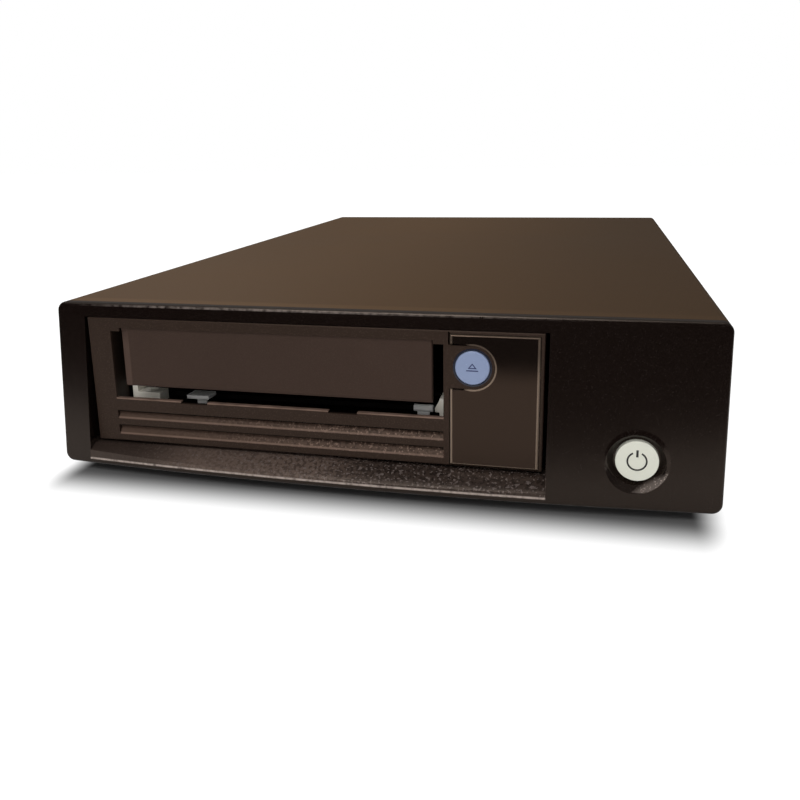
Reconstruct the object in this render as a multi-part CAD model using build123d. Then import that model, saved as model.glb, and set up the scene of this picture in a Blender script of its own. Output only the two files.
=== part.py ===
from build123d import *
import math
import os

# Sizes in millimetres. X is across, Y runs from the front to the back, Z is up
# Cartridge, of the half-inch tape kind
CARTRIDGE_W = 105.4
CARTRIDGE_L = 102.0
CARTRIDGE_T = 21.5
CARTRIDGE_LIFT = 4.0
CARTRIDGE_FIT = 0.3

# Drive front: slot, door, ledges and lens
SLOT_SIDE = 3.4
SLOT_ROOM = 2.8
SLOT_LEFT = 8.2
SLOT_TOP = 3.2
SLOT_NOTCH_W = 9.6
SLOT_NOTCH_D = 0.8
SLOT_LIP = 1.8
SLOT_STEP = 3.2
RAIL_RISE = 3.4
SLOT_NOTCHES = (-27.5, 23.8)
DOOR_SIDE = 3.5
DOOR_UNDER = 4.4
DOOR_T = 2.0
DOOR_BACK = 0.6
PIN_R = 0.9
PIN_FIT = 0.05
PIN_END = 1.0
BARREL_R = 1.3
BARREL_NOTCH = 6.0
LEDGE_H = 15.3
LEDGE_DEPTH = 2.2
LEDGE_1 = (4.5, 7.4)
LEDGE_2 = (9.6, 13.0)
LENS_GAP = 1.9
LENS_W = 26.9
LENS_T = 1.8
LENS_SIDE = 1.2
LENS_TOP = 1.1
LENS_LOW = 0.4
EJECT_IN = 6.9
EJECT_DOWN = 11.2
EJECT_R = 5.2
EJECT_RING = 5.9
EJECT_NOTCH = 6.8
EJECT_TRAVEL = 1.5
EJECT_PROUD = 0.5
DRIVE_BEZEL_T = 8.0
DRIVE_PROUD = 1.0

# Drive body
BODY_SIDE = 2.2
BODY_LOW = 0.75
BASE_WALL = 3.0
BASE_FLOOR = 2.0
BOARD_ROOM = 5.4
BOARD_T = 1.6
COVER_T = 0.8
COVER_FIT = 0.1
COVER_SKIRT = 12.0
BAY_GAP = 4.0
TAB_IN = 17.4
ENTRY_ROLLER_IN = 8.3
CONNECTOR_L = 14.0
CHIPS = ((0.29, 0.36, 24, 24), (0.56, 0.26, 18, 18), (0.36, 0.66, 20, 14), (0.77, 0.46, 14, 22))

# Loader
SLIDER_TRAVEL = 14.0
SLIDER_T = 1.5
SLIDER_FIT = 0.3
TRAY_T = 1.0
TRAY_PIN_R = 1.2
TRAY_PIN_UP = 4.0
RACK_TEETH = 28
WHEEL_TEETH = 36
PINION_TEETH = 12
GEAR_MODULE = 0.5
MESH_GAP = 0.15
GEAR_T = 4.0
WHEEL_T = 3.0
RACK_UP = 5.45
WHEEL_UP = 11.5
GEAR_BACK = 50.8
GEAR_SHAFT_R = 1.5
LOADER_MOTOR_R = 4.5
MOTOR_SHAFT_R = 0.8

# Reels and tape path
REEL_R = 38.0
REEL_H = 15.0
REEL_GAP = 7.8
REEL_END = 2.2
REEL_CORE_R = 20.0
HUB_R = 17.0
SHAFT_R = 2.0
SHAFT_FIT = 0.05
ROLLER_R = 5.0
ROLLER_LIP = 1.2
ROLLER_H = 14.0
ROLLER_PLACES = ((-5.0, -40.0), (0.5, -19.0), (0.5, 19.0), (-7.0, 33.0))
POST_R = 1.5
HEAD_TRAVEL = 3.0
HEAD_WALL = 8.5
HEAD_H = 12.0
ARM_BACK = 11.0
ARM_AHEAD = 22.0
ARM_SHORT = 6.38
ARM_UP = 21.45
ARM_REST = 198.0

# Enclosure round the drive
BEZEL_LEFT = 11.7
PANEL_RIGHT = 50.9
SILL_UP = 7.4
RAIL_TOP = 4.8
REAR_ROOM = 118.1
FOOT_H = 3.0
FOOT_R = 8.0
FOOT_INSET = 22.0
CORNER_R = 3.0
SHEET = 1.2
SHEET_GAP = 0.1
TRAY_LIP = 3.0
TRAY_FLANGE = 12.0
VENT_W = 30.0
VENT_SLOT = 3.5
VENT_PITCH = 9.0
VENT_COUNT = 9
VENT_START = 43.8

# Front moulding of the enclosure
LEAN = 4.7
BOW = 4.5
BEZEL_RIM = 3.0
BEZEL_WALL = 2.6
SKIRT_T = 1.6
SKIRT_L = 7.0
WINDOW_GAP = 1.3
WINDOW_TOP_GAP = 0.2
SILL_GAP = 1.0
LIP_H = 2.4
SILL_RUN = 7.2
FRONT_ROUND = 0.9

# Power button
POWER_SIDE = 24.0
POWER_UP = 14.4
POWER_R = 6.1
POWER_TRAVEL = 2.2
PLUNGER_L = 5.0
DISH_R = 8.6
DISH_DEPTH = 2.2
SLIDE_FIT = 0.1
TRAVEL_SPARE = 0.3
POWER_SWITCH = 12.0
SWITCH_L = 14.5
BRACKET_T = 1.5

# Rear panel
FAN_SIZE = 40.0
FAN_T = 10.0
FAN_SIDE = 61.5
FAN_WALL = 1.2
FAN_SPEED_GAP = 0.8
INLET_SIDE = 26.5
INLET_W = 27.0
INLET_H = 19.6
INLET_L = 18.0
INLET_FLANGE = 1.4
INLET_SCREW = 20.0
SOCKET_UP = 27.0
PORT_W = 17.4
PORT_H = 8.0
PORT_PLACES = (-74.0, -48.0)
PORT_BOARD = 34.0

# Power supply
SUPPLY_ROOM = 11.1
SUPPLY_L = 170.0
SUPPLY_BACK = 43.3
SUPPLY_UP = 5.0
SUPPLY_PART_H = 28.0

# Screws
SCREW_R = 1.5
SCREW_HEAD_R = 2.8
SCREW_HEAD_H = 1.3
COVER_SCREW_IN = 10.0
COVER_SCREW_DOWN = 6.2
FAN_SCREW_L = 8.0

# Across: the drive's front, its body and the case round it
SLOT_W = CARTRIDGE_W + 2 * SLOT_SIDE
DOOR_W = SLOT_W - 2 * DOOR_SIDE
DRIVE_BEZEL_W = SLOT_LEFT + SLOT_W + LENS_GAP + LENS_W + LENS_SIDE
DRIVE_W = DRIVE_BEZEL_W - 2 * BODY_SIDE
CASE_W = BEZEL_LEFT + DRIVE_BEZEL_W + PANEL_RIGHT
BEZEL_X0 = BEZEL_LEFT - CASE_W / 2
BEZEL_X1 = BEZEL_X0 + DRIVE_BEZEL_W
DRIVE_X = (BEZEL_X0 + BEZEL_X1) / 2
DRIVE_X0 = DRIVE_X - DRIVE_W / 2
DRIVE_X1 = DRIVE_X + DRIVE_W / 2
SLOT_X0 = BEZEL_X0 + SLOT_LEFT
SLOT_X1 = SLOT_X0 + SLOT_W
SLOT_X = (SLOT_X0 + SLOT_X1) / 2
LENS_X0 = SLOT_X1 + LENS_GAP
EJECT_X = LENS_X0 + EJECT_IN
POWER_X = CASE_W / 2 - POWER_SIDE
FAN_X = FAN_SIDE - CASE_W / 2
INLET_X = CASE_W / 2 - INLET_SIDE
PORT_X = [INLET_X + place for place in PORT_PLACES]
SUPPLY_W = CASE_W / 2 - DRIVE_X1 - SUPPLY_ROOM
SUPPLY_X = (DRIVE_X1 + CASE_W / 2) / 2 + 1.0
COVER_SCREW_X = (COVER_SCREW_IN - CASE_W / 2, 0.0, CASE_W / 2 - COVER_SCREW_IN)

# Up: the case, the drive in it and the slot
SLOT_H = CARTRIDGE_T + SLOT_ROOM
DOOR_H = SLOT_H - DOOR_UNDER
DRIVE_BEZEL_H = LEDGE_H + SLOT_H + SLOT_TOP
DRIVE_H = DRIVE_BEZEL_H - 2 * BODY_LOW
LENS_H = DRIVE_BEZEL_H - LENS_TOP - LENS_LOW
CASE_H = SILL_UP + DRIVE_BEZEL_H + RAIL_TOP
CASE_Z = FOOT_H
TOP_Z = CASE_Z + CASE_H
FLOOR_Z = CASE_Z + SHEET
DRIVE_BEZEL_Z = CASE_Z + SILL_UP
BEZEL_Z1 = DRIVE_BEZEL_Z + DRIVE_BEZEL_H
DRIVE_Z = DRIVE_BEZEL_Z + BODY_LOW
DRIVE_TOP = DRIVE_Z + DRIVE_H
SLOT_Z1 = BEZEL_Z1 - SLOT_TOP
SLOT_Z0 = SLOT_Z1 - SLOT_H
FLOOR_TOP = DRIVE_Z + BOARD_ROOM + BASE_FLOOR
CARTRIDGE_Z = SLOT_Z0 + CARTRIDGE_FIT
TRAY_RAISED = CARTRIDGE_Z + TRAY_PIN_UP
RACK_Z = FLOOR_TOP + RACK_UP
WHEEL_Z = RACK_Z + WHEEL_UP
ARM_Z = FLOOR_TOP + ARM_UP
LENS_Z0 = DRIVE_BEZEL_Z + LENS_LOW
EJECT_Z = BEZEL_Z1 - EJECT_DOWN
POWER_Z = CASE_Z + POWER_UP
FAN_Z = CASE_Z + CASE_H / 2
INLET_Z = CASE_Z + SOCKET_UP
PORT_Z = INLET_Z
SUPPLY_Z = FLOOR_Z + SUPPLY_UP

# From front to back: the bowed lip, the drive and the room behind it
DRIVE_L = BAY_GAP + CARTRIDGE_L + REEL_GAP + 2 * REEL_R + REEL_END + BASE_WALL
REAR_REACH = INLET_FLANGE + SCREW_HEAD_H
CASE_D = LEAN + BOW - DRIVE_PROUD + DRIVE_BEZEL_T + DRIVE_L + REAR_ROOM + REAR_REACH
FRONT_Y = -CASE_D / 2
TOP_EDGE_Y = FRONT_Y + LEAN + BOW
SEAM_Y = TOP_EDGE_Y + BEZEL_RIM
PANEL_Y = CASE_D / 2 - REAR_REACH
FACE_Y = TOP_EDGE_Y - DRIVE_PROUD
DRIVE_Y = FACE_Y + DRIVE_BEZEL_T
DRIVE_END = DRIVE_Y + DRIVE_L
BAY_Y = DRIVE_Y + BAY_GAP
HINGE_Y = FACE_Y + DOOR_BACK + BARREL_R + 0.4
HINGE_Z = SLOT_Z1 + 0.2
GEAR_Y = BAY_Y + GEAR_BACK
REEL_Y = DRIVE_END - BASE_WALL - REEL_END - REEL_R
HEAD_X = DRIVE_X1 - COVER_T - COVER_FIT - BASE_WALL - HEAD_WALL
HEAD_Y = REEL_Y
ARM_X = HEAD_X - ARM_BACK
ARM_Y = REEL_Y - ARM_AHEAD
ARM_L = math.hypot(ARM_X - SLOT_X, ARM_AHEAD) - ARM_SHORT
SUPPLY_Y = PANEL_Y - SUPPLY_BACK - SUPPLY_L / 2


def block(x0, x1, y0, y1, z0, z1):
    """A box from its lowest to its highest corner."""
    middle = Pos((x0 + x1) / 2, (y0 + y1) / 2, (z0 + z1) / 2)
    return middle * Box(x1 - x0, y1 - y0, z1 - z0)


def rod_x(x0, x1, y, z, r):
    """A round rod along X."""
    return Pos((x0 + x1) / 2, y, z) * Rot(0, 90, 0) * Cylinder(r, x1 - x0)


def rod_y(x, y0, y1, z, r):
    """A round rod along Y."""
    return Pos(x, (y0 + y1) / 2, z) * Rot(90, 0, 0) * Cylinder(r, y1 - y0)


def rod_z(x, y, z0, z1, r):
    """A round rod along Z."""
    return Pos(x, y, (z0 + z1) / 2) * Cylinder(r, z1 - z0)


def case_prism(inset, y0, y1):
    """The rounded case section, drawn in from the outside, between two planes."""
    width = CASE_W - 2 * inset
    height = CASE_H - 2 * inset
    section = RectangleRounded(width, height, max(CORNER_R - inset, 0.4))
    middle = CASE_Z + CASE_H / 2
    return Pos(0, y1, middle) * Rot(90, 0, 0) * extrude(section, y1 - y0)


def front_y(x, z):
    """Where the leaning, bowed front lies at a place across and up."""
    sag = BOW * (1 - (2 * x / CASE_W) ** 2)
    return TOP_EDGE_Y - (LEAN + sag) * (TOP_Z - z) / CASE_H


def front_block(shift, back):
    """A solid behind the leaning front: straight at the top edge, bowed forward at the lip."""
    half = CASE_W / 2
    wires = []
    for z, lean, bow in ((CASE_Z, LEAN, BOW), (TOP_Z, 0.0, 0.0)):
        y = TOP_EDGE_Y + shift - lean
        with BuildSketch(Plane.XY.offset(z)) as outline:
            with BuildLine():
                if bow:
                    ThreePointArc((-half, y), (0, y - bow), (half, y))
                else:
                    Line((-half, y), (half, y))
                Line((half, y), (half, back))
                Line((half, back), (-half, back))
                Line((-half, back), (-half, y))
            make_face()
        wires.append(outline.sketch)
    return loft(wires, ruled=True)


def across_x(points, x0, x1):
    """A prism along X over a list of (y, z) corners."""
    face = make_face(Polyline([(0, y, z) for y, z in points], close=True))
    return Pos(x0, 0, 0) * extrude(face, x1 - x0, dir=(1, 0, 0))


def coil(r, wire, length, turns):
    """An open coil spring along Z from the origin."""
    path = Helix(pitch=length / turns, height=length, radius=r)
    start = Plane(origin=path @ 0, z_dir=path % 0)
    return sweep(start * Circle(wire), path=path)


def screw_y(x, y, z, length):
    """A pan-head screw along Y, driven forward, whose head stands behind the plane y."""
    return rod_y(x, y, y + SCREW_HEAD_H, z, SCREW_HEAD_R) + rod_y(x, y - length, y, z, SCREW_R)


def screw_z(x, y, z, length):
    """A pan-head screw along Z whose head stands on the plane z."""
    return rod_z(x, y, z, z + SCREW_HEAD_H, SCREW_HEAD_R) + rod_z(x, y, z - length, z, SCREW_R)


def gear(teeth, module, thickness, bore):
    """A spur gear with straight-sided teeth along Z, standing on the origin."""
    r_root = module * (teeth / 2 - 1.2)
    r_tip = module * (teeth / 2 + 0.9)
    body = extrude(Circle(r_root) - Circle(bore), thickness)
    tooth_w = module * math.pi / 2
    tooth = Polygon((r_root - 0.2, -tooth_w * 0.55), (r_tip, -tooth_w * 0.25),
                    (r_tip, tooth_w * 0.25), (r_root - 0.2, tooth_w * 0.55), align=None)
    solid = extrude(tooth, thickness)
    return body + [Rot(0, 0, 360 * i / teeth) * solid for i in range(teeth)]


def front_bezel():
    """Enclosure front: leaning face, window for the drive, sill, button dish and rear skirt."""
    shell = front_block(0, SEAM_Y) & case_prism(0, FRONT_Y - 1, SEAM_Y)
    rim = [e for e in shell.faces().sort_by(Axis.Y)[0].edges()]
    shell = fillet(rim, FRONT_ROUND)
    skirt_in = SHEET + SHEET_GAP
    skirt = case_prism(skirt_in, SEAM_Y, SEAM_Y + SKIRT_L)
    skirt -= case_prism(skirt_in + SKIRT_T, SEAM_Y - 1, SEAM_Y + SKIRT_L + 1)
    x0 = BEZEL_X0 - WINDOW_GAP
    x1 = BEZEL_X1 + WINDOW_GAP
    top = BEZEL_Z1 + WINDOW_TOP_GAP
    sill = DRIVE_BEZEL_Z - SILL_GAP
    edge = CASE_Z + LIP_H
    run = FRONT_Y + SILL_RUN
    back = SEAM_Y + SKIRT_L + 1
    ahead = FRONT_Y - 2
    window = across_x([(ahead, edge), (FRONT_Y, edge), (run, sill), (back, sill), (back, top), (ahead, top)],
                      x0, x1)
    right0 = x1 + BEZEL_WALL
    right1 = CASE_W / 2 - SHEET - BEZEL_WALL
    hollow = front_block(BEZEL_WALL, back)
    hollow &= block(right0, right1, FRONT_Y - 2, back, FLOOR_Z + BEZEL_WALL, TOP_Z - SHEET - BEZEL_WALL)
    face = front_y(POWER_X, POWER_Z)
    boss_end = SEAM_Y + 1
    boss = front_block(0.5, boss_end) & rod_y(POWER_X, FRONT_Y - 1, boss_end, POWER_Z, DISH_R + 1.2)
    dish = Pos(POWER_X, face - 1.5, POWER_Z) * Rot(-90, 0, 0) * Cone(
        DISH_R + 1.2, POWER_R + 0.5, DISH_DEPTH + 1.5, align=(Align.CENTER, Align.CENTER, Align.MIN))
    body = shell - hollow + boss + skirt - window
    return body - dish - rod_y(POWER_X, FRONT_Y, boss_end + 1, POWER_Z, POWER_R + SLIDE_FIT)


def chassis_tray():
    """Steel tray: floor, low outer lips, inner side flanges and the rear panel."""
    ring = case_prism(0, SEAM_Y, PANEL_Y) - case_prism(SHEET, SEAM_Y - 1, PANEL_Y + 1)
    low = block(-CASE_W, CASE_W, SEAM_Y, PANEL_Y, CASE_Z, CASE_Z + TRAY_LIP)
    tray = ring & low
    inner = CASE_W / 2 - SHEET - SHEET_GAP
    for side in (-1, 1):
        x0, x1 = sorted((side * inner, side * (inner - SHEET)))
        tray += block(x0, x1, SEAM_Y + SKIRT_L + 0.5, PANEL_Y - SHEET, FLOOR_Z - 0.3, CASE_Z + TRAY_FLANGE)
    half = inner - 0.05
    panel = block(-half, half, PANEL_Y - SHEET, PANEL_Y, FLOOR_Z - 0.5, TOP_Z - SHEET - SHEET_GAP)
    for dx, dz in fan_corners():
        panel -= rod_y(FAN_X + dx, PANEL_Y - 3, PANEL_Y + 1, FAN_Z + dz, SCREW_R)
    slots = []
    ring_pitch = (FAN_SIZE / 2 - FAN_WALL) / 4.2
    for i in range(3):
        r = ring_pitch * (i + 1.35)
        ring_slot = Circle(r + 0.71 * ring_pitch) - Circle(r)
        cross = Rectangle(2.4, 2 * FAN_SIZE) + Rectangle(2 * FAN_SIZE, 2.4)
        slots.append(extrude(ring_slot - Rot(0, 0, 45) * cross, 6))
    grille = [Pos(FAN_X, PANEL_Y + 3, FAN_Z) * Rot(90, 0, 0) * s for s in slots]
    panel -= grille
    panel -= block(INLET_X - INLET_W / 2, INLET_X + INLET_W / 2, PANEL_Y - 3, PANEL_Y + 1,
                   INLET_Z - INLET_H / 2, INLET_Z + INLET_H / 2)
    for x in PORT_X:
        panel -= block(x - PORT_W / 2, x + PORT_W / 2, PANEL_Y - 3, PANEL_Y + 1,
                       PORT_Z - PORT_H / 2, PORT_Z + PORT_H / 2)
    for x in COVER_SCREW_X:
        panel -= rod_y(x, PANEL_Y - 3, PANEL_Y + 1, cover_screw_z(), SCREW_R)
    inset = SHEET + SHEET_GAP
    tray += panel & (case_prism(inset, PANEL_Y - 9, PANEL_Y + 1) + low)
    for i in range(VENT_COUNT):
        y = SEAM_Y + VENT_START + VENT_PITCH * i
        tray -= block(SUPPLY_X - VENT_W / 2, SUPPLY_X + VENT_W / 2, y, y + VENT_SLOT,
                      CASE_Z - 1, FLOOR_Z + 1)
    return tray


def top_cover():
    """Wrapped steel cover: the top and both sides, open underneath and at both ends."""
    ring = case_prism(0, SEAM_Y, PANEL_Y) - case_prism(SHEET, SEAM_Y - 1, PANEL_Y + 1)
    return ring & block(-CASE_W, CASE_W, SEAM_Y, PANEL_Y, CASE_Z + TRAY_LIP + SHEET_GAP, TOP_Z + 1)


def feet():
    """Four round soft feet."""
    places = []
    for x in (-1, 1):
        for y in (-1, 1):
            places.append(Pos(x * (CASE_W / 2 - FOOT_INSET), y * (CASE_D / 2 - 2 * FOOT_INSET), 0))
    foot = Cone(FOOT_R - 1, FOOT_R, FOOT_H, align=(Align.CENTER, Align.CENTER, Align.MIN))
    return [p * foot for p in places]


def power_button():
    """Round cap with a plunger behind it."""
    face = front_y(POWER_X, POWER_Z) + 0.4
    cap = rod_y(POWER_X, face, SEAM_Y + 1, POWER_Z, POWER_R)
    plunger = rod_y(POWER_X, SEAM_Y, SEAM_Y + PLUNGER_L, POWER_Z, 2.0)
    return cap + plunger


def power_spring():
    """Return spring round the power plunger."""
    start = SEAM_Y + 1.1
    spring = coil(3.2, 0.35, power_switch_y() - start - 0.9, 4)
    return Pos(POWER_X, start + 0.4, POWER_Z) * Rot(-90, 0, 0) * spring


def power_switch_y():
    """Front of the switch: just past the plunger's full travel."""
    return SEAM_Y + PLUNGER_L + POWER_TRAVEL + TRAVEL_SPARE


def power_switch():
    """Switch body on its angle bracket, which stands on the tray floor."""
    y = power_switch_y()
    half = POWER_SWITCH / 2
    t = BRACKET_T
    body = block(POWER_X - half, POWER_X + half, y + t, y + t + SWITCH_L, POWER_Z - half, POWER_Z + half)
    plate = block(POWER_X - half - 3, POWER_X + half + 3, y, y + t, FLOOR_Z, POWER_Z + half + 2)
    foot = block(POWER_X - half - 3, POWER_X + half + 3, y, y + SWITCH_L, FLOOR_Z, FLOOR_Z + t)
    return body + plate + foot


def supply_board():
    """Power supply circuit board on four posts."""
    x0 = SUPPLY_X - SUPPLY_W / 2
    y0 = SUPPLY_Y - SUPPLY_L / 2
    board = block(x0, x0 + SUPPLY_W, y0, y0 + SUPPLY_L, SUPPLY_Z, SUPPLY_Z + BOARD_T)
    for x, y in supply_posts():
        board += rod_z(x, y, FLOOR_Z, SUPPLY_Z, 2.5)
        board -= rod_z(x, y, SUPPLY_Z, SUPPLY_Z + BOARD_T + 1, SCREW_R)
    return board


def supply_posts():
    """Places of the supply's four posts."""
    dx = SUPPLY_W / 2 - 5
    dy = SUPPLY_L / 2 - 6
    return [(SUPPLY_X + i * dx, SUPPLY_Y + j * dy) for i in (-1, 1) for j in (-1, 1)]


def supply_transformer():
    """Transformer: ferrite frame with a rounded winding."""
    z = SUPPLY_Z + BOARD_T
    half = SUPPLY_W * 0.38
    wound = half - 5
    top = z + SUPPLY_PART_H
    core = block(SUPPLY_X - half, SUPPLY_X + half, SUPPLY_Y - 8, SUPPLY_Y + 8, z, top)
    winding = block(SUPPLY_X - wound, SUPPLY_X + wound, SUPPLY_Y - 15, SUPPLY_Y + 15, z + 4, top - 4)
    return core + fillet(winding.edges().filter_by(Axis.X), 3)


def supply_capacitors():
    """Row of upright electrolytic capacitors."""
    z = SUPPLY_Z + BOARD_T
    w = SUPPLY_W
    ahead = -0.32 * SUPPLY_L
    behind = 0.235 * SUPPLY_L
    top = SUPPLY_PART_H
    spots = [(-0.21 * w, ahead, 0.20 * w, top + 4), (0.26 * w, ahead, 0.16 * w, top - 2)]
    spots += [(i * 0.28 * w, behind, 0.12 * w, top - 8) for i in (-1, 0, 1)]
    return [rod_z(SUPPLY_X + dx, SUPPLY_Y + dy, z, z + h, r) for dx, dy, r, h in spots]


def supply_heat_sinks():
    """Two finned heat sinks across the supply."""
    z = SUPPLY_Z + BOARD_T
    sinks = []
    half = 0.43 * SUPPLY_W
    fins = 8
    step = (2 * half - 3.2) / (fins - 1)
    for y in (SUPPLY_Y - 0.19 * SUPPLY_L, SUPPLY_Y + 0.14 * SUPPLY_L):
        sink = block(SUPPLY_X - half, SUPPLY_X + half, y, y + 2.5, z, z + SUPPLY_PART_H)
        for i in range(fins):
            x = SUPPLY_X - half + 1 + step * i
            sink += block(x, x + 1.2, y + 2.4, y + 7, z + 3, z + SUPPLY_PART_H)
        sinks.append(sink)
    return sinks


def supply_screws():
    """Screws through the supply's board into its posts."""
    return [screw_z(x, y, SUPPLY_Z + BOARD_T, BOARD_T) for x, y in supply_posts()]


def mains_inlet():
    """Three-pin inlet: flange outside the rear panel, moulded box and three blades."""
    half_w = INLET_W / 2
    half_h = INLET_H / 2
    reach = INLET_SCREW + 5
    flange = block(INLET_X - reach, INLET_X + reach, PANEL_Y, PANEL_Y + INLET_FLANGE,
                   INLET_Z - half_h - 1.7, INLET_Z + half_h + 1.7)
    box = block(INLET_X - half_w, INLET_X + half_w, PANEL_Y - INLET_L, PANEL_Y + 0.1,
                INLET_Z - half_h, INLET_Z + half_h)
    hollow = block(INLET_X - half_w + 1.5, INLET_X + half_w - 1.5, PANEL_Y - INLET_L + 3, PANEL_Y + 2,
                   INLET_Z - half_h + 1.6, INLET_Z + half_h - 1.6)
    body = flange + box - hollow
    for dx, dz in ((-7, -2), (7, -2), (0, 2)):
        body += block(INLET_X + dx - 1, INLET_X + dx + 1, PANEL_Y - INLET_L + 2, PANEL_Y - 5,
                      INLET_Z + dz - 2, INLET_Z + dz + 2)
    for side in (-1, 1):
        body -= rod_y(INLET_X + side * INLET_SCREW, PANEL_Y - 1, PANEL_Y + 2, INLET_Z, SCREW_R)
    return body


def inlet_screws():
    """Two short screws that hold the inlet."""
    y = PANEL_Y + INLET_FLANGE
    return [screw_y(INLET_X + side * INLET_SCREW, y, INLET_Z, INLET_FLANGE) for side in (-1, 1)]


def data_ports():
    """Two shielded data receptacles on one small board behind the rear panel."""
    x0 = PORT_X[0] - PORT_W / 2 - 3
    x1 = PORT_X[1] + PORT_W / 2 + 3
    low = PORT_Z - PORT_H / 2
    body = block(x0, x1, PANEL_Y - PORT_BOARD, PANEL_Y - SHEET - 0.1, low - BOARD_T, low)
    body += block(x0, x0 + 2, PANEL_Y - PORT_BOARD, PANEL_Y - SHEET - 0.1, FLOOR_Z, low)
    body += block(x1 - 2, x1, PANEL_Y - PORT_BOARD, PANEL_Y - SHEET - 0.1, FLOOR_Z, low)
    for x in PORT_X:
        shell = block(x - PORT_W / 2 + 0.1, x + PORT_W / 2 - 0.1, PANEL_Y - 22, PANEL_Y + 1.2,
                      low, low + PORT_H - 0.1)
        cup = block(x - PORT_W / 2 + 1, x + PORT_W / 2 - 1, PANEL_Y - 12, PANEL_Y + 2,
                    low + 1, low + PORT_H - 1)
        body += shell - cup
    return body


def fan_frame():
    """Square fan frame with a round duct, a hub plate and four struts."""
    z = FAN_Z
    y0 = PANEL_Y - SHEET - FAN_T
    half = FAN_SIZE / 2
    frame = block(FAN_X - half, FAN_X + half, y0, y0 + FAN_T, z - half, z + half)
    frame -= rod_y(FAN_X, y0 - 1, y0 + FAN_T + 1, z, half - FAN_WALL)
    frame += rod_y(FAN_X, y0 + FAN_T - 1.5, y0 + FAN_T, z, FAN_SIZE * 0.275)
    for turn in (0, 90):
        arm = Pos(FAN_X, y0 + FAN_T - 0.75, z) * Rot(0, turn + 45, 0) * Box(2 * half - 1.6, 1.5, 2)
        frame += arm
    frame += rod_y(FAN_X, y0 + 2, y0 + FAN_T - 1, z, 2)
    for dx, dz in fan_corners():
        frame -= rod_y(FAN_X + dx, y0 - 1, y0 + FAN_T + 1, z + dz, SCREW_R + 0.1)
    return frame


def fan_corners():
    """Offsets of the fan's four screw holes."""
    reach = FAN_SIZE / 2 - 4
    return [(i * reach, j * reach) for i in (-1, 1) for j in (-1, 1)]


def fan_rotor():
    """Fan hub with seven swept blades, on the frame's stub shaft."""
    z = FAN_Z
    y0 = PANEL_Y - SHEET - FAN_T
    hub_r = FAN_SIZE / 4
    hub = rod_y(FAN_X, y0 + 0.6, y0 + FAN_T - 2.0, z, hub_r)
    hub -= rod_y(FAN_X, y0 + 1.6, y0 + FAN_T, z, 2 + SHAFT_FIT)
    tip = FAN_SIZE / 2 - FAN_WALL - FAN_SPEED_GAP
    root = hub_r - 0.5
    width = 0.65 * FAN_T
    blade = Rot(28, 0, 0) * Box(tip - root, 1.0, width)
    blades = []
    for i in range(7):
        blades.append(Rot(0, 360 * i / 7, 0) * Pos((tip + root) / 2, 0, 0) * blade)
    ring = rod_y(0, -0.37 * FAN_T, 0.37 * FAN_T, 0, tip)
    middle = Pos(FAN_X, y0 + (FAN_T - 1.4) / 2, z)
    return hub + [middle * (b & ring) for b in blades]


def fan_screws():
    """Four screws through the rear panel into the fan frame."""
    z = FAN_Z
    return [screw_y(FAN_X + dx, PANEL_Y, z + dz, FAN_SCREW_L) for dx, dz in fan_corners()]


def cover_screw_z():
    """Height of the screws along the rear panel's upper edge."""
    return TOP_Z - COVER_SCREW_DOWN


def cover_screws():
    """Three screws in the rear panel's upper edge."""
    return [screw_y(x, PANEL_Y, cover_screw_z(), SHEET) for x in COVER_SCREW_X]


def drive_brackets():
    """Two angle brackets that stand on the tray and hold the drive's sides."""
    pair = []
    for side, reach in ((-1, 9.0), (1, 7.0)):
        face = DRIVE_X + side * DRIVE_W / 2
        a, b = sorted((face + side * COVER_FIT, face + side * (COVER_FIT + BRACKET_T)))
        bracket = block(a, b, DRIVE_Y + 12, DRIVE_END - 20, FLOOR_Z, DRIVE_Z + 16)
        c, d = sorted((face + side * BRACKET_T, face + side * reach))
        bracket += block(c, d, DRIVE_Y + 12, DRIVE_END - 20, FLOOR_Z, FLOOR_Z + BRACKET_T)
        pair.append(bracket)
    return pair


def bracket_screws():
    """Screws that hold the drive in its brackets, two on each side."""
    screws = []
    for side in (-1, 1):
        face = DRIVE_X + side * (DRIVE_W / 2 + COVER_FIT + BRACKET_T)
        for y in (DRIVE_Y + 30, DRIVE_END - 86):
            a, b = sorted((face, face + side * SCREW_HEAD_H))
            screws.append(rod_x(a, b, y, DRIVE_Z + 10, SCREW_HEAD_R))
    return screws


def drive_base():
    """Cast base: deep side walls, raised floor, rear wall and cartridge-side walls."""
    x0 = DRIVE_X0 + COVER_T + COVER_FIT
    x1 = DRIVE_X1 - COVER_T - COVER_FIT
    top = DRIVE_TOP - COVER_T - COVER_FIT
    base = block(x0, x1, DRIVE_Y + 0.1, DRIVE_END, DRIVE_Z, top)
    base -= block(x0 + BASE_WALL, x1 - BASE_WALL, DRIVE_Y - 1, DRIVE_END - BASE_WALL, FLOOR_TOP, top + 1)
    base -= block(x0 + BASE_WALL, x1 - BASE_WALL, DRIVE_Y - 1, DRIVE_END - BASE_WALL, DRIVE_Z - 1,
                  FLOOR_TOP - BASE_FLOOR)
    skirt = COVER_SKIRT + 0.2
    for side, x in ((-1, x0), (1, x1)):
        a, b = sorted((x - side * 0.5, DRIVE_X + side * DRIVE_W / 2))
        base += block(a, b, DRIVE_Y + 0.1, DRIVE_END, DRIVE_Z, DRIVE_TOP - skirt)
    for x0, x1 in connector_spans():
        base -= block(x0 - 0.2, x1 + 0.2, DRIVE_END - BASE_WALL - 1, DRIVE_END + 1, DRIVE_Z - 1,
                      FLOOR_TOP - BASE_FLOOR)
    for x, y in roller_places():
        base -= rod_z(x, y, FLOOR_TOP - 1.5, FLOOR_TOP + 1, POST_R)
    return base


def hub_y():
    """Centre of a loaded cartridge's reel."""
    return BAY_Y + CARTRIDGE_L / 2


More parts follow.
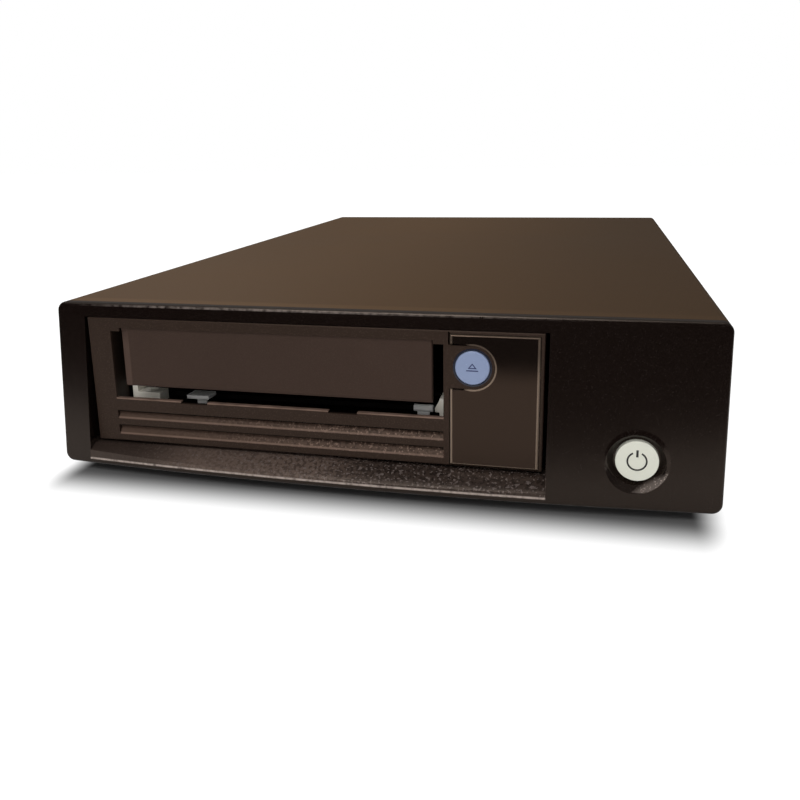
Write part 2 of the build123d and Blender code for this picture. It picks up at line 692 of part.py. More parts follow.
def drive_cover():
    """Thin steel lid with side skirts over the base."""
    lid = block(DRIVE_X0, DRIVE_X1, DRIVE_Y + 0.1, DRIVE_END, DRIVE_TOP - COVER_SKIRT, DRIVE_TOP)
    inside = block(DRIVE_X0 + COVER_T, DRIVE_X1 - COVER_T, DRIVE_Y - 1, DRIVE_END + 1,
                   DRIVE_TOP - COVER_SKIRT - 1, DRIVE_TOP - COVER_T)
    return lid - inside


def drive_cover_screws():
    """Six small screws on the drive's lid."""
    spots = []
    for x in (-1, 1):
        for y in (12, DRIVE_L / 2, DRIVE_L - 8):
            spots.append((DRIVE_X + x * (DRIVE_W / 2 - 8), DRIVE_Y + y))
    return [rod_z(x, y, DRIVE_TOP, DRIVE_TOP + 0.9, 2.2) for x, y in spots]


def lens_outline(grow):
    """The lens face seen from the front, in X and Z, with the round notch at its left."""
    plate = Pos(LENS_X0 + LENS_W / 2, LENS_Z0 + LENS_H / 2) * Rectangle(LENS_W + 2 * grow, LENS_H + 2 * grow)
    r = EJECT_NOTCH - grow
    notch = Pos(EJECT_X, EJECT_Z) * Circle(r)
    notch += Pos((EJECT_X + LENS_X0 - 5) / 2, EJECT_Z) * Rectangle(EJECT_X - LENS_X0 + 5, 2 * r)
    return plate - notch


def front_plate(outline, y0, y1):
    """Extrudes an outline in X and Z between two planes."""
    return Pos(0, y1, 0) * Rot(90, 0, 0) * extrude(outline, y1 - y0)


def drive_bezel():
    """Drive front: cartridge slot with a thin lip, two ledges, lens recess and eject button bore."""
    body = block(BEZEL_X0, BEZEL_X1, FACE_Y, DRIVE_Y, DRIVE_BEZEL_Z, BEZEL_Z1)
    front = body.faces().sort_by(Axis.Y)[0]
    body = fillet(front.edges(), 0.5)
    body -= block(SLOT_X0, SLOT_X1, FACE_Y - 1, DRIVE_Y + 1, SLOT_Z0, SLOT_Z1)
    body -= block(SLOT_X0, SLOT_X1, HINGE_Y - BARREL_R - 0.2, DRIVE_Y + 1, SLOT_Z1 - 1, SLOT_Z1 + 1.8)
    body -= rod_x(SLOT_X0 - PIN_END - 0.1, SLOT_X1 + PIN_END + 0.1, HINGE_Y, HINGE_Z, PIN_R + PIN_FIT)
    door_x0 = SLOT_X - DOOR_W / 2
    door_x1 = SLOT_X + DOOR_W / 2
    for a, b in ((SLOT_X0 - 0.2, door_x0 - 0.3), (door_x1 + 0.3, SLOT_X1 + 0.2)):
        body += block(a, b, FACE_Y + 0.1, FACE_Y + 0.9, SLOT_Z1 - 1.2, SLOT_Z1 + 0.2)
    for place in SLOT_NOTCHES:
        x = SLOT_X + place
        body -= block(x - SLOT_NOTCH_W / 2, x + SLOT_NOTCH_W / 2, FACE_Y - 1, DRIVE_Y + 1,
                      SLOT_Z0 - SLOT_NOTCH_D, SLOT_Z0 + 1)
    body -= block(SLOT_X0, SLOT_X1, FACE_Y + SLOT_LIP, DRIVE_Y + 1, SLOT_Z0 - SLOT_STEP, SLOT_Z0 + 1)
    for start, crest in (LEDGE_1, LEDGE_2):
        points = [(FACE_Y - 1, SLOT_Z0 - start), (FACE_Y + LEDGE_DEPTH, SLOT_Z0 - start),
                  (FACE_Y, SLOT_Z0 - crest), (FACE_Y - 1, SLOT_Z0 - crest)]
        body -= across_x(points, SLOT_X0 - 0.1, SLOT_X1 - 0.2)
    body -= front_plate(lens_outline(0.15), FACE_Y - 1, FACE_Y + LENS_T + 0.1)
    body -= block(LENS_X0 + 1.5, LENS_X0 + LENS_W - 1.5, FACE_Y + LENS_T, DRIVE_Y + 1,
                  LENS_Z0 + 1.5, EJECT_Z - EJECT_NOTCH - 1.0)
    body -= rod_y(EJECT_X, FACE_Y - 1, FACE_Y + 3, EJECT_Z, EJECT_RING)
    body -= rod_y(EJECT_X, FACE_Y - 1, DRIVE_Y + 1, EJECT_Z, EJECT_R + SLIDE_FIT)
    body -= block(LENS_X0 - 0.5, LENS_X0 + 0.1, FACE_Y - 1, FACE_Y + 2,
                  EJECT_Z + EJECT_NOTCH, BEZEL_Z1 - 0.4)
    return body


def status_lens():
    """Smoked lens beside the cartridge slot, with bevelled front edges."""
    lens = front_plate(lens_outline(0), FACE_Y - 0.2, FACE_Y + LENS_T)
    front = lens.faces().sort_by(Axis.Y)[0]
    return chamfer(front.edges(), 0.4)


def status_leds():
    """Column of small indicator lamps behind the lens."""
    x = LENS_X0 + LENS_W - 8
    lamps = []
    for i in range(4):
        z = LENS_Z0 + 9 + 4.5 * i
        lamps.append(block(x - 1.5, x + 1.5, front_board_y() - 3.0, front_board_y(), z - 1, z + 1))
    return lamps


def front_board_y():
    """Front of the drive's control board, behind its bezel."""
    return DRIVE_Y + BAY_GAP


def front_board():
    """Control board behind the lens, carried by the drive's side wall."""
    x1 = DRIVE_X1 - COVER_T - COVER_FIT - BASE_WALL
    y = front_board_y()
    return block(SLOT_X1 + 2.0, x1, y, y + BOARD_T, FLOOR_TOP, DRIVE_TOP - 2)


def eject_button():
    """Round eject button with a stem."""
    head = rod_y(EJECT_X, FACE_Y - EJECT_PROUD, FACE_Y + 5.5, EJECT_Z, EJECT_R)
    front = head.faces().sort_by(Axis.Y)[0]
    head = fillet(front.edges(), 0.4)
    return head + rod_y(EJECT_X, FACE_Y + 5, DRIVE_Y, EJECT_Z, 1.2)


def eject_collar():
    """Darker ring pressed round the eject button."""
    ring = rod_y(EJECT_X, FACE_Y - 0.1, FACE_Y + 3, EJECT_Z, EJECT_RING)
    return ring - rod_y(EJECT_X, FACE_Y - 1, FACE_Y + 4, EJECT_Z, EJECT_R + SLIDE_FIT)


def eject_spring():
    """Return spring round the eject button's stem."""
    start = FACE_Y + 5.5 + 0.3
    end = DRIVE_Y + EJECT_TRAVEL + TRAVEL_SPARE - 0.4
    return Pos(EJECT_X, start, EJECT_Z) * Rot(-90, 0, 0) * coil(2.2, 0.25, end - start, 4)


def eject_switch():
    """Small push switch on the control board, behind the eject button's stem."""
    y0 = DRIVE_Y + EJECT_TRAVEL + TRAVEL_SPARE
    return block(EJECT_X - 3, EJECT_X + 3, y0, front_board_y(), EJECT_Z - 3, EJECT_Z + 3)


def cartridge_door():
    """Sprung flap: flat plate with a bevelled left band and a hinge barrel along its top."""
    x0 = SLOT_X - DOOR_W / 2
    x1 = SLOT_X + DOOR_W / 2
    y0 = FACE_Y + DOOR_BACK
    z0 = SLOT_Z1 - DOOR_H
    plate = block(x0, x1, y0, y0 + DOOR_T, z0, SLOT_Z1)
    plate = fillet(plate.faces().sort_by(Axis.Y)[0].edges().filter_by(Axis.Z), 0.6)
    bevel = [(y0 - 1, z0), (y0, z0 - 1), (y0 + 0.7, z0 - 1), (y0, z0 + 0.7), (y0 - 1, z0 + 0.7)]
    plate -= across_x(bevel, x0, x1)
    barrel = rod_x(x0, x1, HINGE_Y, HINGE_Z, BARREL_R)
    for side in (-1, 1):
        a, b = sorted((SLOT_X + side * (DOOR_W / 2 - 4), SLOT_X + side * (DOOR_W / 2 - 4 - BARREL_NOTCH)))
        barrel -= block(a, b, HINGE_Y - 2, HINGE_Y + 3, HINGE_Z - 3, HINGE_Z + 3)
        plate -= block(a, b, HINGE_Y - BARREL_R - 0.1, HINGE_Y + 3, HINGE_Z - 2, HINGE_Z + 3)
    rib = block(x0 + 6, x1 - 6, y0 + DOOR_T, y0 + DOOR_T + 0.6, z0 + 1, z0 + 2.2)
    return plate + barrel + rib - rod_x(x0 - 1, x1 + 1, HINGE_Y, HINGE_Z, PIN_R)


def door_pin():
    """Steel hinge pin, fast in the door's barrel."""
    return rod_x(SLOT_X0 - PIN_END, SLOT_X1 + PIN_END, HINGE_Y, HINGE_Z, PIN_R)


def door_springs():
    """Two small torsion coils round the pin, one in each notch of the barrel."""
    pair = []
    for side in (-1, 1):
        x = SLOT_X + side * (DOOR_W / 2 - 4 - BARREL_NOTCH / 2)
        half = 0.4 * BARREL_NOTCH
        sleeve = rod_x(x - half, x + half, HINGE_Y, HINGE_Z, BARREL_R + 0.1)
        pair.append(sleeve - rod_x(x - half - 1, x + half + 1, HINGE_Y, HINGE_Z, PIN_R + PIN_FIT))
    return pair


def cartridge_guides():
    """White plastic guide rails on the drive's floor beside the cartridge path."""
    pair = []
    y0 = DRIVE_Y + 0.5
    y1 = y0 + 12
    for side in (-1, 1):
        a, b = sorted((SLOT_X + side * (CARTRIDGE_W / 2 + 0.6), SLOT_X + side * (CARTRIDGE_W / 2 + 2.4)))
        rail = block(a, b, y0, y1, FLOOR_TOP, SLOT_Z0 + RAIL_RISE)
        pair.append(rail)
    low = SLOT_X - CARTRIDGE_W / 2
    pair[0] += block(low - 2.4, low + 8, y0, y0 + 6, SLOT_Z0 - 4, SLOT_Z0 - 0.3)
    pair[0] += block(low - 2.4, low - 0.3, y0, y0 + 4, SLOT_Z0 - 4, SLOT_Z0 + 2.4)
    high = SLOT_X + CARTRIDGE_W / 2
    low_z = SLOT_Z0 - 1.3
    high_z = SLOT_Z0 + RAIL_RISE
    corners = [(high + 2, 0, low_z), (high - 0.9, 0, low_z), (high - 0.9, 0, SLOT_Z0),
               (high + 0.9, 0, high_z), (high + 2, 0, high_z)]
    nose = make_face(Polyline(corners, close=True))
    pair[1] += Pos(0, y0, 0) * extrude(nose, 3.5, dir=(0, 1, 0))
    return pair


def entry_fittings():
    """Bright metal sensor tab and entry roller just inside the slot, on short legs."""
    y = DRIVE_Y + BAY_GAP
    x = SLOT_X - CARTRIDGE_W / 2 + TAB_IN
    tab = block(x, x + 8.1, y - 2, y + 4, SLOT_Z0 - 2.2, SLOT_Z0 - 1.0)
    tab += block(x + 2.3, x + 5.8, y + 1, y + 2, FLOOR_TOP, SLOT_Z0 - 2.0)
    x = SLOT_X + CARTRIDGE_W / 2 - ENTRY_ROLLER_IN
    roller = rod_x(x, x + 6.3, y, SLOT_Z0 - 1.2, 1.2)
    return [tab, roller + block(x + 1.1, x + 5.1, y - 0.5, y + 0.5, FLOOR_TOP, SLOT_Z0 - 1.5)]


def tray_pins():
    """Places, in Y, of the two lifting pins on each side of the cartridge tray."""
    return (BAY_Y + 26, BAY_Y + CARTRIDGE_L - 16)


def cartridge_tray():
    """Sheet tray that holds the cartridge, lifted and lowered by its side pins."""
    y0 = BAY_Y + 12
    y1 = BAY_Y + CARTRIDGE_L
    half = CARTRIDGE_W / 2 + CARTRIDGE_FIT
    z0 = CARTRIDGE_Z - TRAY_T
    top = CARTRIDGE_Z + CARTRIDGE_T + 0.7
    tray = block(SLOT_X - half - TRAY_T, SLOT_X + half + TRAY_T, y0, y1, z0, top + TRAY_T)
    tray -= block(SLOT_X - half, SLOT_X + half, y0 - 1, y1 + 1, CARTRIDGE_Z, top)
    tray -= block(SLOT_X - half + 6, SLOT_X + half - 6, y0 - 1, y1 + 1, top - 1, top + 2)
    tray -= rod_z(SLOT_X, hub_y(), z0 - 1, z0 + 2, HUB_R + 5)
    for side in (-1, 1):
        x = SLOT_X + side * (CARTRIDGE_W / 2 - 17.7)
        tray += block(x - 5, x + 5, y1, y1 + TRAY_T, z0, z0 + 8)
    for side in (-1, 1):
        for y in tray_pins():
            a, b = sorted((SLOT_X + side * (half + TRAY_T - 0.2), SLOT_X + side * (half + TRAY_T + 2.6)))
            tray += rod_x(a, b, y, TRAY_RAISED, TRAY_PIN_R)
    return tray


def gear_x():
    """Centre of the loading gear, one pitch radius out from the rack's pitch line."""
    rack_root = SLOT_X + slider_half() + SLIDER_T + 0.7
    return rack_root + 1.2 * GEAR_MODULE + GEAR_MODULE * RACK_TEETH / 2


def slider_half():
    """Half the clear width between the slider's two plates."""
    return CARTRIDGE_W / 2 + CARTRIDGE_FIT + TRAY_T + SLIDER_FIT


def loader_slider():
    """Two sliding cam plates with ramped slots, joined by a cross bar, and a rack on the right."""
    inner = slider_half()
    y0 = BAY_Y + 14
    y1 = BAY_Y + CARTRIDGE_L - 6
    z0 = FLOOR_TOP + SLIDER_FIT
    half_slot = TRAY_PIN_R + 0.25
    frame = block(SLOT_X - inner, SLOT_X + inner, y0, y0 + 3, z0, z0 + 1.6)
    for side in (-1, 1):
        a, b = sorted((SLOT_X + side * inner, SLOT_X + side * (inner + SLIDER_T)))
        plate = block(a, b, y0, y1, z0, TRAY_RAISED + half_slot + 1.2)
        for y in tray_pins():
            drop = CARTRIDGE_LIFT
            run = SLIDER_TRAVEL
            slope = math.hypot(run, drop)
            dy = half_slot * drop / slope
            dz = half_slot * run / slope
            points = [(y - dy, TRAY_RAISED + dz), (y + dy, TRAY_RAISED - dz),
                      (y - run + dy, TRAY_RAISED - drop - dz), (y - run - dy, TRAY_RAISED - drop + dz)]
            plate -= across_x(points, a - 1, b + 1)
            plate -= rod_x(a - 1, b + 1, y, TRAY_RAISED, half_slot)
            plate -= rod_x(a - 1, b + 1, y - run, TRAY_RAISED - drop, half_slot)
        frame += plate
    pitch = math.pi * GEAR_MODULE
    root_x = gear_x() - GEAR_MODULE * RACK_TEETH / 2 - 1.2 * GEAR_MODULE
    count = 14
    bar = block(SLOT_X + inner + SLIDER_T - 0.1, root_x, GEAR_Y - pitch * count, GEAR_Y + pitch * 5,
                RACK_Z, RACK_Z + GEAR_T)
    frame += bar
    half_root = pitch / 2 * 0.55
    half_tip = pitch / 2 * 0.25
    tooth = Polygon((root_x - 0.2, -half_root), (root_x + 2.1 * GEAR_MODULE, -half_tip),
                    (root_x + 2.1 * GEAR_MODULE, half_tip), (root_x - 0.2, half_root), align=None)
    solid = extrude(tooth, GEAR_T)
    teeth = [Pos(0, GEAR_Y + (i + 0.5) * pitch, RACK_Z) * solid for i in range(-count, 5)]
    return frame + teeth


def loader_gear():
    """Stepped gear: lower teeth drive the rack, the upper wheel meets the motor pinion."""
    bore = GEAR_SHAFT_R + SHAFT_FIT
    low = gear(RACK_TEETH, GEAR_MODULE, GEAR_T, bore)
    neck = extrude(Circle(4) - Circle(bore), WHEEL_Z - RACK_Z)
    wheel = Pos(0, 0, WHEEL_Z - RACK_Z) * gear(WHEEL_TEETH, GEAR_MODULE, WHEEL_T, bore)
    return Pos(gear_x(), GEAR_Y, RACK_Z) * (low + neck + wheel)


def loader_shaft():
    """Fixed shaft of the loading gear, with its shoulder."""
    shaft = rod_z(gear_x(), GEAR_Y, FLOOR_TOP, WHEEL_Z + WHEEL_T + 1, GEAR_SHAFT_R)
    return shaft + rod_z(gear_x(), GEAR_Y, FLOOR_TOP, RACK_Z - 0.1, 3)


def motor_y():
    """Centre of the loading motor, one mesh distance behind the gear."""
    return GEAR_Y + GEAR_MODULE * (WHEEL_TEETH + PINION_TEETH) / 2 + MESH_GAP


def loader_motor():
    """Loading motor standing on the base, with its output shaft."""
    can = rod_z(gear_x(), motor_y(), FLOOR_TOP, WHEEL_Z - 1, LOADER_MOTOR_R)
    can = fillet(can.edges().sort_by(Axis.Z)[-1], 0.8)
    return can + rod_z(gear_x(), motor_y(), WHEEL_Z - 1.5, WHEEL_Z + WHEEL_T + 0.5,
                       MOTOR_SHAFT_R)


def motor_pinion():
    """Small pinion on the motor shaft."""
    turn = 180 / PINION_TEETH
    pinion = gear(PINION_TEETH, GEAR_MODULE, WHEEL_T, MOTOR_SHAFT_R + SHAFT_FIT)
    return Pos(gear_x(), motor_y(), WHEEL_Z) * Rot(0, 0, turn) * pinion


def reel_motor():
    """Flat motor under the cartridge's reel, with its shaft."""
    body = rod_z(SLOT_X, hub_y(), FLOOR_TOP, FLOOR_TOP + 1.6, HUB_R + 1)
    return body + rod_z(SLOT_X, hub_y(), FLOOR_TOP + 1, FLOOR_TOP + 4.8, SHAFT_R)


def reel_hub():
    """Toothed driving hub that engages the cartridge's reel."""
    z = FLOOR_TOP + 1.8
    hub = rod_z(SLOT_X, hub_y(), z, z + 1.6, HUB_R) + rod_z(SLOT_X, hub_y(), z + 1.5, z + 2.8, 5)
    hub -= rod_z(SLOT_X, hub_y(), z - 1, z + 4, SHAFT_R + SHAFT_FIT)
    tooth = Pos(HUB_R - 3, 0, z + 2) * Box(3.2, 1.2, 1.4)
    return hub + [Pos(SLOT_X, hub_y(), 0) * Rot(0, 0, 15 * i) * tooth for i in range(24)]


def take_up_motor():
    """Flat motor under the take-up reel, with its shaft."""
    body = rod_z(SLOT_X, REEL_Y, FLOOR_TOP, FLOOR_TOP + 3.0, REEL_CORE_R - 3)
    return body + rod_z(SLOT_X, REEL_Y, FLOOR_TOP + 2, FLOOR_TOP + 3.5 + REEL_H + 0.5, SHAFT_R)


def take_up_reel():
    """Take-up reel: two flanges on a core with a leader slot."""
    z = FLOOR_TOP + 3.4
    reel = rod_z(SLOT_X, REEL_Y, z, z + 1, REEL_R) + rod_z(SLOT_X, REEL_Y, z, z + REEL_H, REEL_CORE_R)
    reel += rod_z(SLOT_X, REEL_Y, z + REEL_H - 1, z + REEL_H, REEL_R)
    slot = block(SLOT_X + 6, SLOT_X + REEL_CORE_R + 1, REEL_Y - 2, REEL_Y + 2, z + 1, z + REEL_H + 1)
    for i in range(6):
        hole = rod_z((REEL_R + REEL_CORE_R) / 2, 0, z - 1, z + REEL_H + 1, (REEL_R - REEL_CORE_R) / 4)
        reel -= Pos(SLOT_X, REEL_Y, 0) * Rot(0, 0, 30 + 60 * i) * hole
    return reel - slot - rod_z(SLOT_X, REEL_Y, z - 1, z + REEL_H + 1, SHAFT_R + SHAFT_FIT)


def roller_places():
    """Centres of the four tape guide rollers."""
    return [(HEAD_X + dx, HEAD_Y + dy) for dx, dy in ROLLER_PLACES]


def roller_posts():
    """Four fixed posts with shoulders for the guide rollers."""
    posts = []
    for x, y in roller_places():
        post = rod_z(x, y, FLOOR_TOP - 1.5, FLOOR_TOP + ROLLER_H + 5.5, POST_R)
        posts.append(post + rod_z(x, y, FLOOR_TOP, FLOOR_TOP + 3.3, 2.8))
    return posts


def guide_roller(x, y):
    """Flanged roller that turns on its post."""
    z = FLOOR_TOP + 3.4
    roller = rod_z(x, y, z, z + ROLLER_H, ROLLER_R)
    for z0 in (z, z + ROLLER_H - 0.8):
        roller += rod_z(x, y, z0, z0 + 0.8, ROLLER_R + ROLLER_LIP)
    return roller - rod_z(x, y, z - 1, z + ROLLER_H + 1, POST_R + SHAFT_FIT)


def head_rods():
    """Places of the two rods that the head slides on."""
    return [(HEAD_X + 5, HEAD_Y + dy) for dy in (-7, 7)]


def head_actuator():
    """Base, two rods and top bridge that carry the head."""
    body = block(HEAD_X - 6, HEAD_X + HEAD_WALL - 1, HEAD_Y - 10, HEAD_Y + 10, FLOOR_TOP, FLOOR_TOP + 1.5)
    top = FLOOR_TOP + 27
    for x, y in head_rods():
        body += rod_z(x, y, FLOOR_TOP + 1, top, POST_R)
    return body + block(HEAD_X + 3, HEAD_X + HEAD_WALL - 1, HEAD_Y - 9, HEAD_Y + 9, top - 0.1, top + 1.5)


def head_block():
    """Read and write head on its carriage, with a rounded tape face."""
    z = FLOOR_TOP + 1.5 + HEAD_TRAVEL + 1.5
    body = block(HEAD_X, HEAD_X + HEAD_WALL - 1.2, HEAD_Y - 9, HEAD_Y + 9, z, z + HEAD_H)
    body += block(HEAD_X - 5, HEAD_X + 0.1, HEAD_Y - 5, HEAD_Y + 5, z + 1, z + HEAD_H - 1)
    for dy in (-2.2, 2.2):
        body += rod_z(HEAD_X - 4, HEAD_Y + dy, z + 1, z + HEAD_H - 1, 1.8)
    for x, y in head_rods():
        body -= rod_z(x, y, z - 1, z + HEAD_H + 1, POST_R + SHAFT_FIT)
    return body


def arm_post():
    """Fixed post and shoulder that the threading arm turns on."""
    return rod_z(ARM_X, ARM_Y, FLOOR_TOP, ARM_Z + 3, POST_R) + rod_z(ARM_X, ARM_Y, FLOOR_TOP, ARM_Z - 0.1, 3)


def threading_arm():
    """Flat arm that carries the tape's leader pin to the take-up reel."""
    hub = extrude(Circle(4) - Circle(POST_R + SHAFT_FIT), 2.4)
    bar = Pos(ARM_L / 2 + 1, 0, 0.8) * Box(ARM_L - 4, 4, 1.6)
    tip = Pos(ARM_L, 0, 0.8) * Cylinder(3, 1.6) + Pos(ARM_L, 0, -0.6) * Cylinder(1.2, 1.4)
    return Pos(ARM_X, ARM_Y, ARM_Z) * Rot(0, 0, ARM_REST) * (hub + bar + tip)


def connector_spans():
    """X spans of the drive's data and power connectors."""
    return ((DRIVE_X1 - 48.4, DRIVE_X1 - 18.4), (DRIVE_X1 - 13.4, DRIVE_X1 - 5.4))


def main_board():
    """Main circuit board hung under the base's floor on four posts."""
    half = DRIVE_W / 2 - COVER_T - BASE_WALL - 0.6
    z = DRIVE_Z + 1
    under = FLOOR_TOP - BASE_FLOOR
    board = block(DRIVE_X - half, DRIVE_X + half, DRIVE_Y + 6, DRIVE_END - BASE_WALL - 1, z, z + BOARD_T)
    for i in (-1, 1):
        for y in (DRIVE_Y + 12, DRIVE_END - 16):
            board += rod_z(DRIVE_X + i * (half - 5), y, z + BOARD_T - 0.1, under, 2.5)
    for across, along, w, d in CHIPS:
        x = DRIVE_X0 + across * DRIVE_W
        y = DRIVE_Y + along * DRIVE_L
        board += block(x, x + w, y, y + d, z + BOARD_T - 0.1, z + BOARD_T + 1.4)
    return board


def drive_connectors():
    """Data and power connectors on the main board, out through the base's rear wall."""
    z = DRIVE_Z + 1 + BOARD_T
    top = FLOOR_TOP - BASE_FLOOR - 0.1
    y = DRIVE_END - CONNECTOR_L + 2
    return [block(x0, x1, y, DRIVE_END + 2, z, top) for x0, x1 in connector_spans()]


def data_cable():
    """Flat cable from the drive's data connector, along the floor, up to the port board."""
    x0, x1 = connector_spans()[0]
    middle = (x0 + x1) / 2
    start_z = (DRIVE_Z + 1 + BOARD_T + FLOOR_TOP - BASE_FLOOR) / 2
    low_z = FLOOR_Z + 1.5
    end_z = PORT_Z - PORT_H / 2 - BOARD_T / 2
    end_y = PANEL_Y - PORT_BOARD
    points = [(middle, DRIVE_END + 2, start_z), (middle, DRIVE_END + 14, start_z),
              (middle, DRIVE_END + 26, low_z), (middle, end_y - 24, low_z),
              (middle, end_y - 12, end_z), (middle, end_y, end_z)]
    path = FilletPolyline(*points, radius=6)
    start = Plane(origin=points[0], x_dir=(1, 0, 0), z_dir=(0, 1, 0))
    return sweep(start * Rectangle(x1 - x0 - 4, 0.9), path=path)


def lead(points, radius, r):
    """A round lead through a list of points with rounded turns."""
    path = FilletPolyline(*points, radius=radius)
    start = Plane(origin=path @ 0, z_dir=path % 0)
    return sweep(start * Circle(r), path=path)


def power_leads():
    """Leads: inlet to supply, supply to switch, supply to drive."""
    board_z = SUPPLY_Z + BOARD_T / 2
    back = SUPPLY_Y + SUPPLY_L / 2
    front = SUPPLY_Y - SUPPLY_L / 2
    inlet_y = PANEL_Y - INLET_L
    switch_y = power_switch_y() + BRACKET_T + SWITCH_L
    plug = (connector_spans()[1][0] + connector_spans()[1][1]) / 2
    side = SUPPLY_X - SUPPLY_W / 2
    plug_z = (DRIVE_Z + 1 + BOARD_T + FLOOR_TOP - BASE_FLOOR) / 2
    inlet = lead([(INLET_X, inlet_y, INLET_Z), (INLET_X, inlet_y - 9, INLET_Z),
                  (INLET_X, back + 6, board_z), (INLET_X, back, board_z)], 4, 1.6)
    run = front - switch_y
    switch = lead([(POWER_X, switch_y, POWER_Z), (POWER_X, switch_y + 0.25 * run, POWER_Z),
                   (POWER_X, front - 0.31 * run, board_z), (POWER_X, front, board_z)], 0.17 * run, 1.4)
    drive = lead([(plug, DRIVE_END + 2, plug_z), (plug, DRIVE_END + 22, plug_z),
                  (side - 7, DRIVE_END + 32, board_z), (side, DRIVE_END + 32, board_z)], 5, 1.1)
    return [inlet, switch, drive]


def make_parts():
    """Every piece of the object by the name of its node."""
    parts = {
        "front_bezel": front_bezel(),
        "chassis_tray": chassis_tray(),
        "top_cover": top_cover(),
        "feet": feet(),
        "cover_screws": cover_screws(),
        "power_button": power_button(),
        "power_button_spring": power_spring(),
        "power_switch": power_switch(),
        "supply_board": supply_board(),
        "supply_transformer": supply_transformer(),
        "supply_capacitors": supply_capacitors(),
        "supply_heat_sinks": supply_heat_sinks(),
        "supply_screws": supply_screws(),
        "mains_inlet": mains_inlet(),
        "inlet_screws": inlet_screws(),
        "data_ports": data_ports(),
        "fan_frame": fan_frame(),
        "fan_rotor": fan_rotor(),
        "fan_screws": fan_screws(),
        "drive_brackets": drive_brackets(),
        "bracket_screws": bracket_screws(),
        "data_cable": data_cable(),
        "power_leads": power_leads(),
        "drive_base": drive_base(),
        "drive_cover": drive_cover(),
        "drive_cover_screws": drive_cover_screws(),
        "drive_bezel": drive_bezel(),
        "status_lens": status_lens(),
        "status_lamps": status_leds(),
        "front_board": front_board(),
        "eject_button": eject_button(),
        "eject_collar": eject_collar(),
        "eject_spring": eject_spring(),
        "eject_switch": eject_switch(),
        "cartridge_door": cartridge_door(),
        "door_pin": door_pin(),
        "door_springs": door_springs(),
        "cartridge_guides": cartridge_guides(),
        "entry_fittings": entry_fittings(),
        "cartridge_tray": cartridge_tray(),
        "loader_slider": loader_slider(),
        "loader_gear": loader_gear(),
        "loader_shaft": loader_shaft(),
        "loader_motor": loader_motor(),
        "motor_pinion": motor_pinion(),
        "reel_motor": reel_motor(),
        "reel_hub": reel_hub(),
        "take_up_motor": take_up_motor(),
        "take_up_reel": take_up_reel(),
        "roller_posts": roller_posts(),
        "head_actuator": head_actuator(),
        "head_block": head_block(),
        "arm_post": arm_post(),
        "threading_arm": threading_arm(),
        "main_board": main_board(),
        "drive_connectors": drive_connectors(),
    }
    for i, (x, y) in enumerate(roller_places(), start=1):
        parts[f"guide_roller_{i}"] = guide_roller(x, y)
    return parts


def write(name, shape):
    """Writes one piece as STEP; a list of solids becomes one group."""
    if isinstance(shape, list):
        shape = Compound(children=[Solid(s.solid().wrapped) if len(s.solids()) == 1 else s for s in shape])
    export_step(shape, f"parts/{name}.step")


os.makedirs("parts", exist_ok=True)
for node, piece in make_parts().items():
    write(node, piece)
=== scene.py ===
import sys
import logging
import math
from dataclasses import dataclass
from enum import Enum
from typing import Any, Callable, Sequence

import bmesh
import bpy
from mathutils import Matrix, Vector


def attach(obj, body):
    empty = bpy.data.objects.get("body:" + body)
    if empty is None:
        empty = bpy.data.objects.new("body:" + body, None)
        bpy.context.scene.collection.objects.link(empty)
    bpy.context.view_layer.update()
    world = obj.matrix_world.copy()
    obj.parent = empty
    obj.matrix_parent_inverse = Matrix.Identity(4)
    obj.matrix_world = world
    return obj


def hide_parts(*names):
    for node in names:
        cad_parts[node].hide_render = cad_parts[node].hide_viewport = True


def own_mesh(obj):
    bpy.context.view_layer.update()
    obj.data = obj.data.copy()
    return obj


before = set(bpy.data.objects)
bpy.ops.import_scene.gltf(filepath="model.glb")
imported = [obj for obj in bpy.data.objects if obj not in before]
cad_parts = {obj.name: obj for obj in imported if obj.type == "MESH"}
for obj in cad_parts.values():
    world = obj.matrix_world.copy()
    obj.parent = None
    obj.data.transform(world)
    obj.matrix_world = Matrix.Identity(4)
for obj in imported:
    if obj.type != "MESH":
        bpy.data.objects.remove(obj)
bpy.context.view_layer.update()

MM = 0.001
WELD = 0.000002
FLAT = 0.6
HARD_EDGE = 32.0
LOG = logging.getLogger("tape_drive")
Point = tuple[float, float, float]
Colour = tuple[float, float, float]


def srgb(red: int, green: int, blue: int) -> Colour:
    """Turns a colour of 0 to 255 into the linear values that a shader takes.

    Args:
        red: Red, from 0 to 255.
        green: Green, from 0 to 255.
        blue: Blue, from 0 to 255.

    Returns:
        The linear colour.
    """
    def linear(level: int) -> float:
        """One channel, made linear."""
        share = level / 255
        return share / 12.92 if share <= 0.04045 else ((share + 0.055) / 1.055) ** 2.4
    return linear(red), linear(green), linear(blue)


def arithmetic(operation: str, swapped: bool = False) -> Callable[["Link", Any], "Link"]:
    """Makes one of Link's operators.

    Args:
        operation: The Math node's operation.
        swapped: Whether the other value stands on the left.

    Returns:
        A method that adds the Math node and gives its result.
    """
    def method(link: "Link", other: Any) -> "Link":
        """Adds the node."""
        pair = (other, link) if swapped else (link, other)
        return link.graph.maths(operation, *pair)
    return method


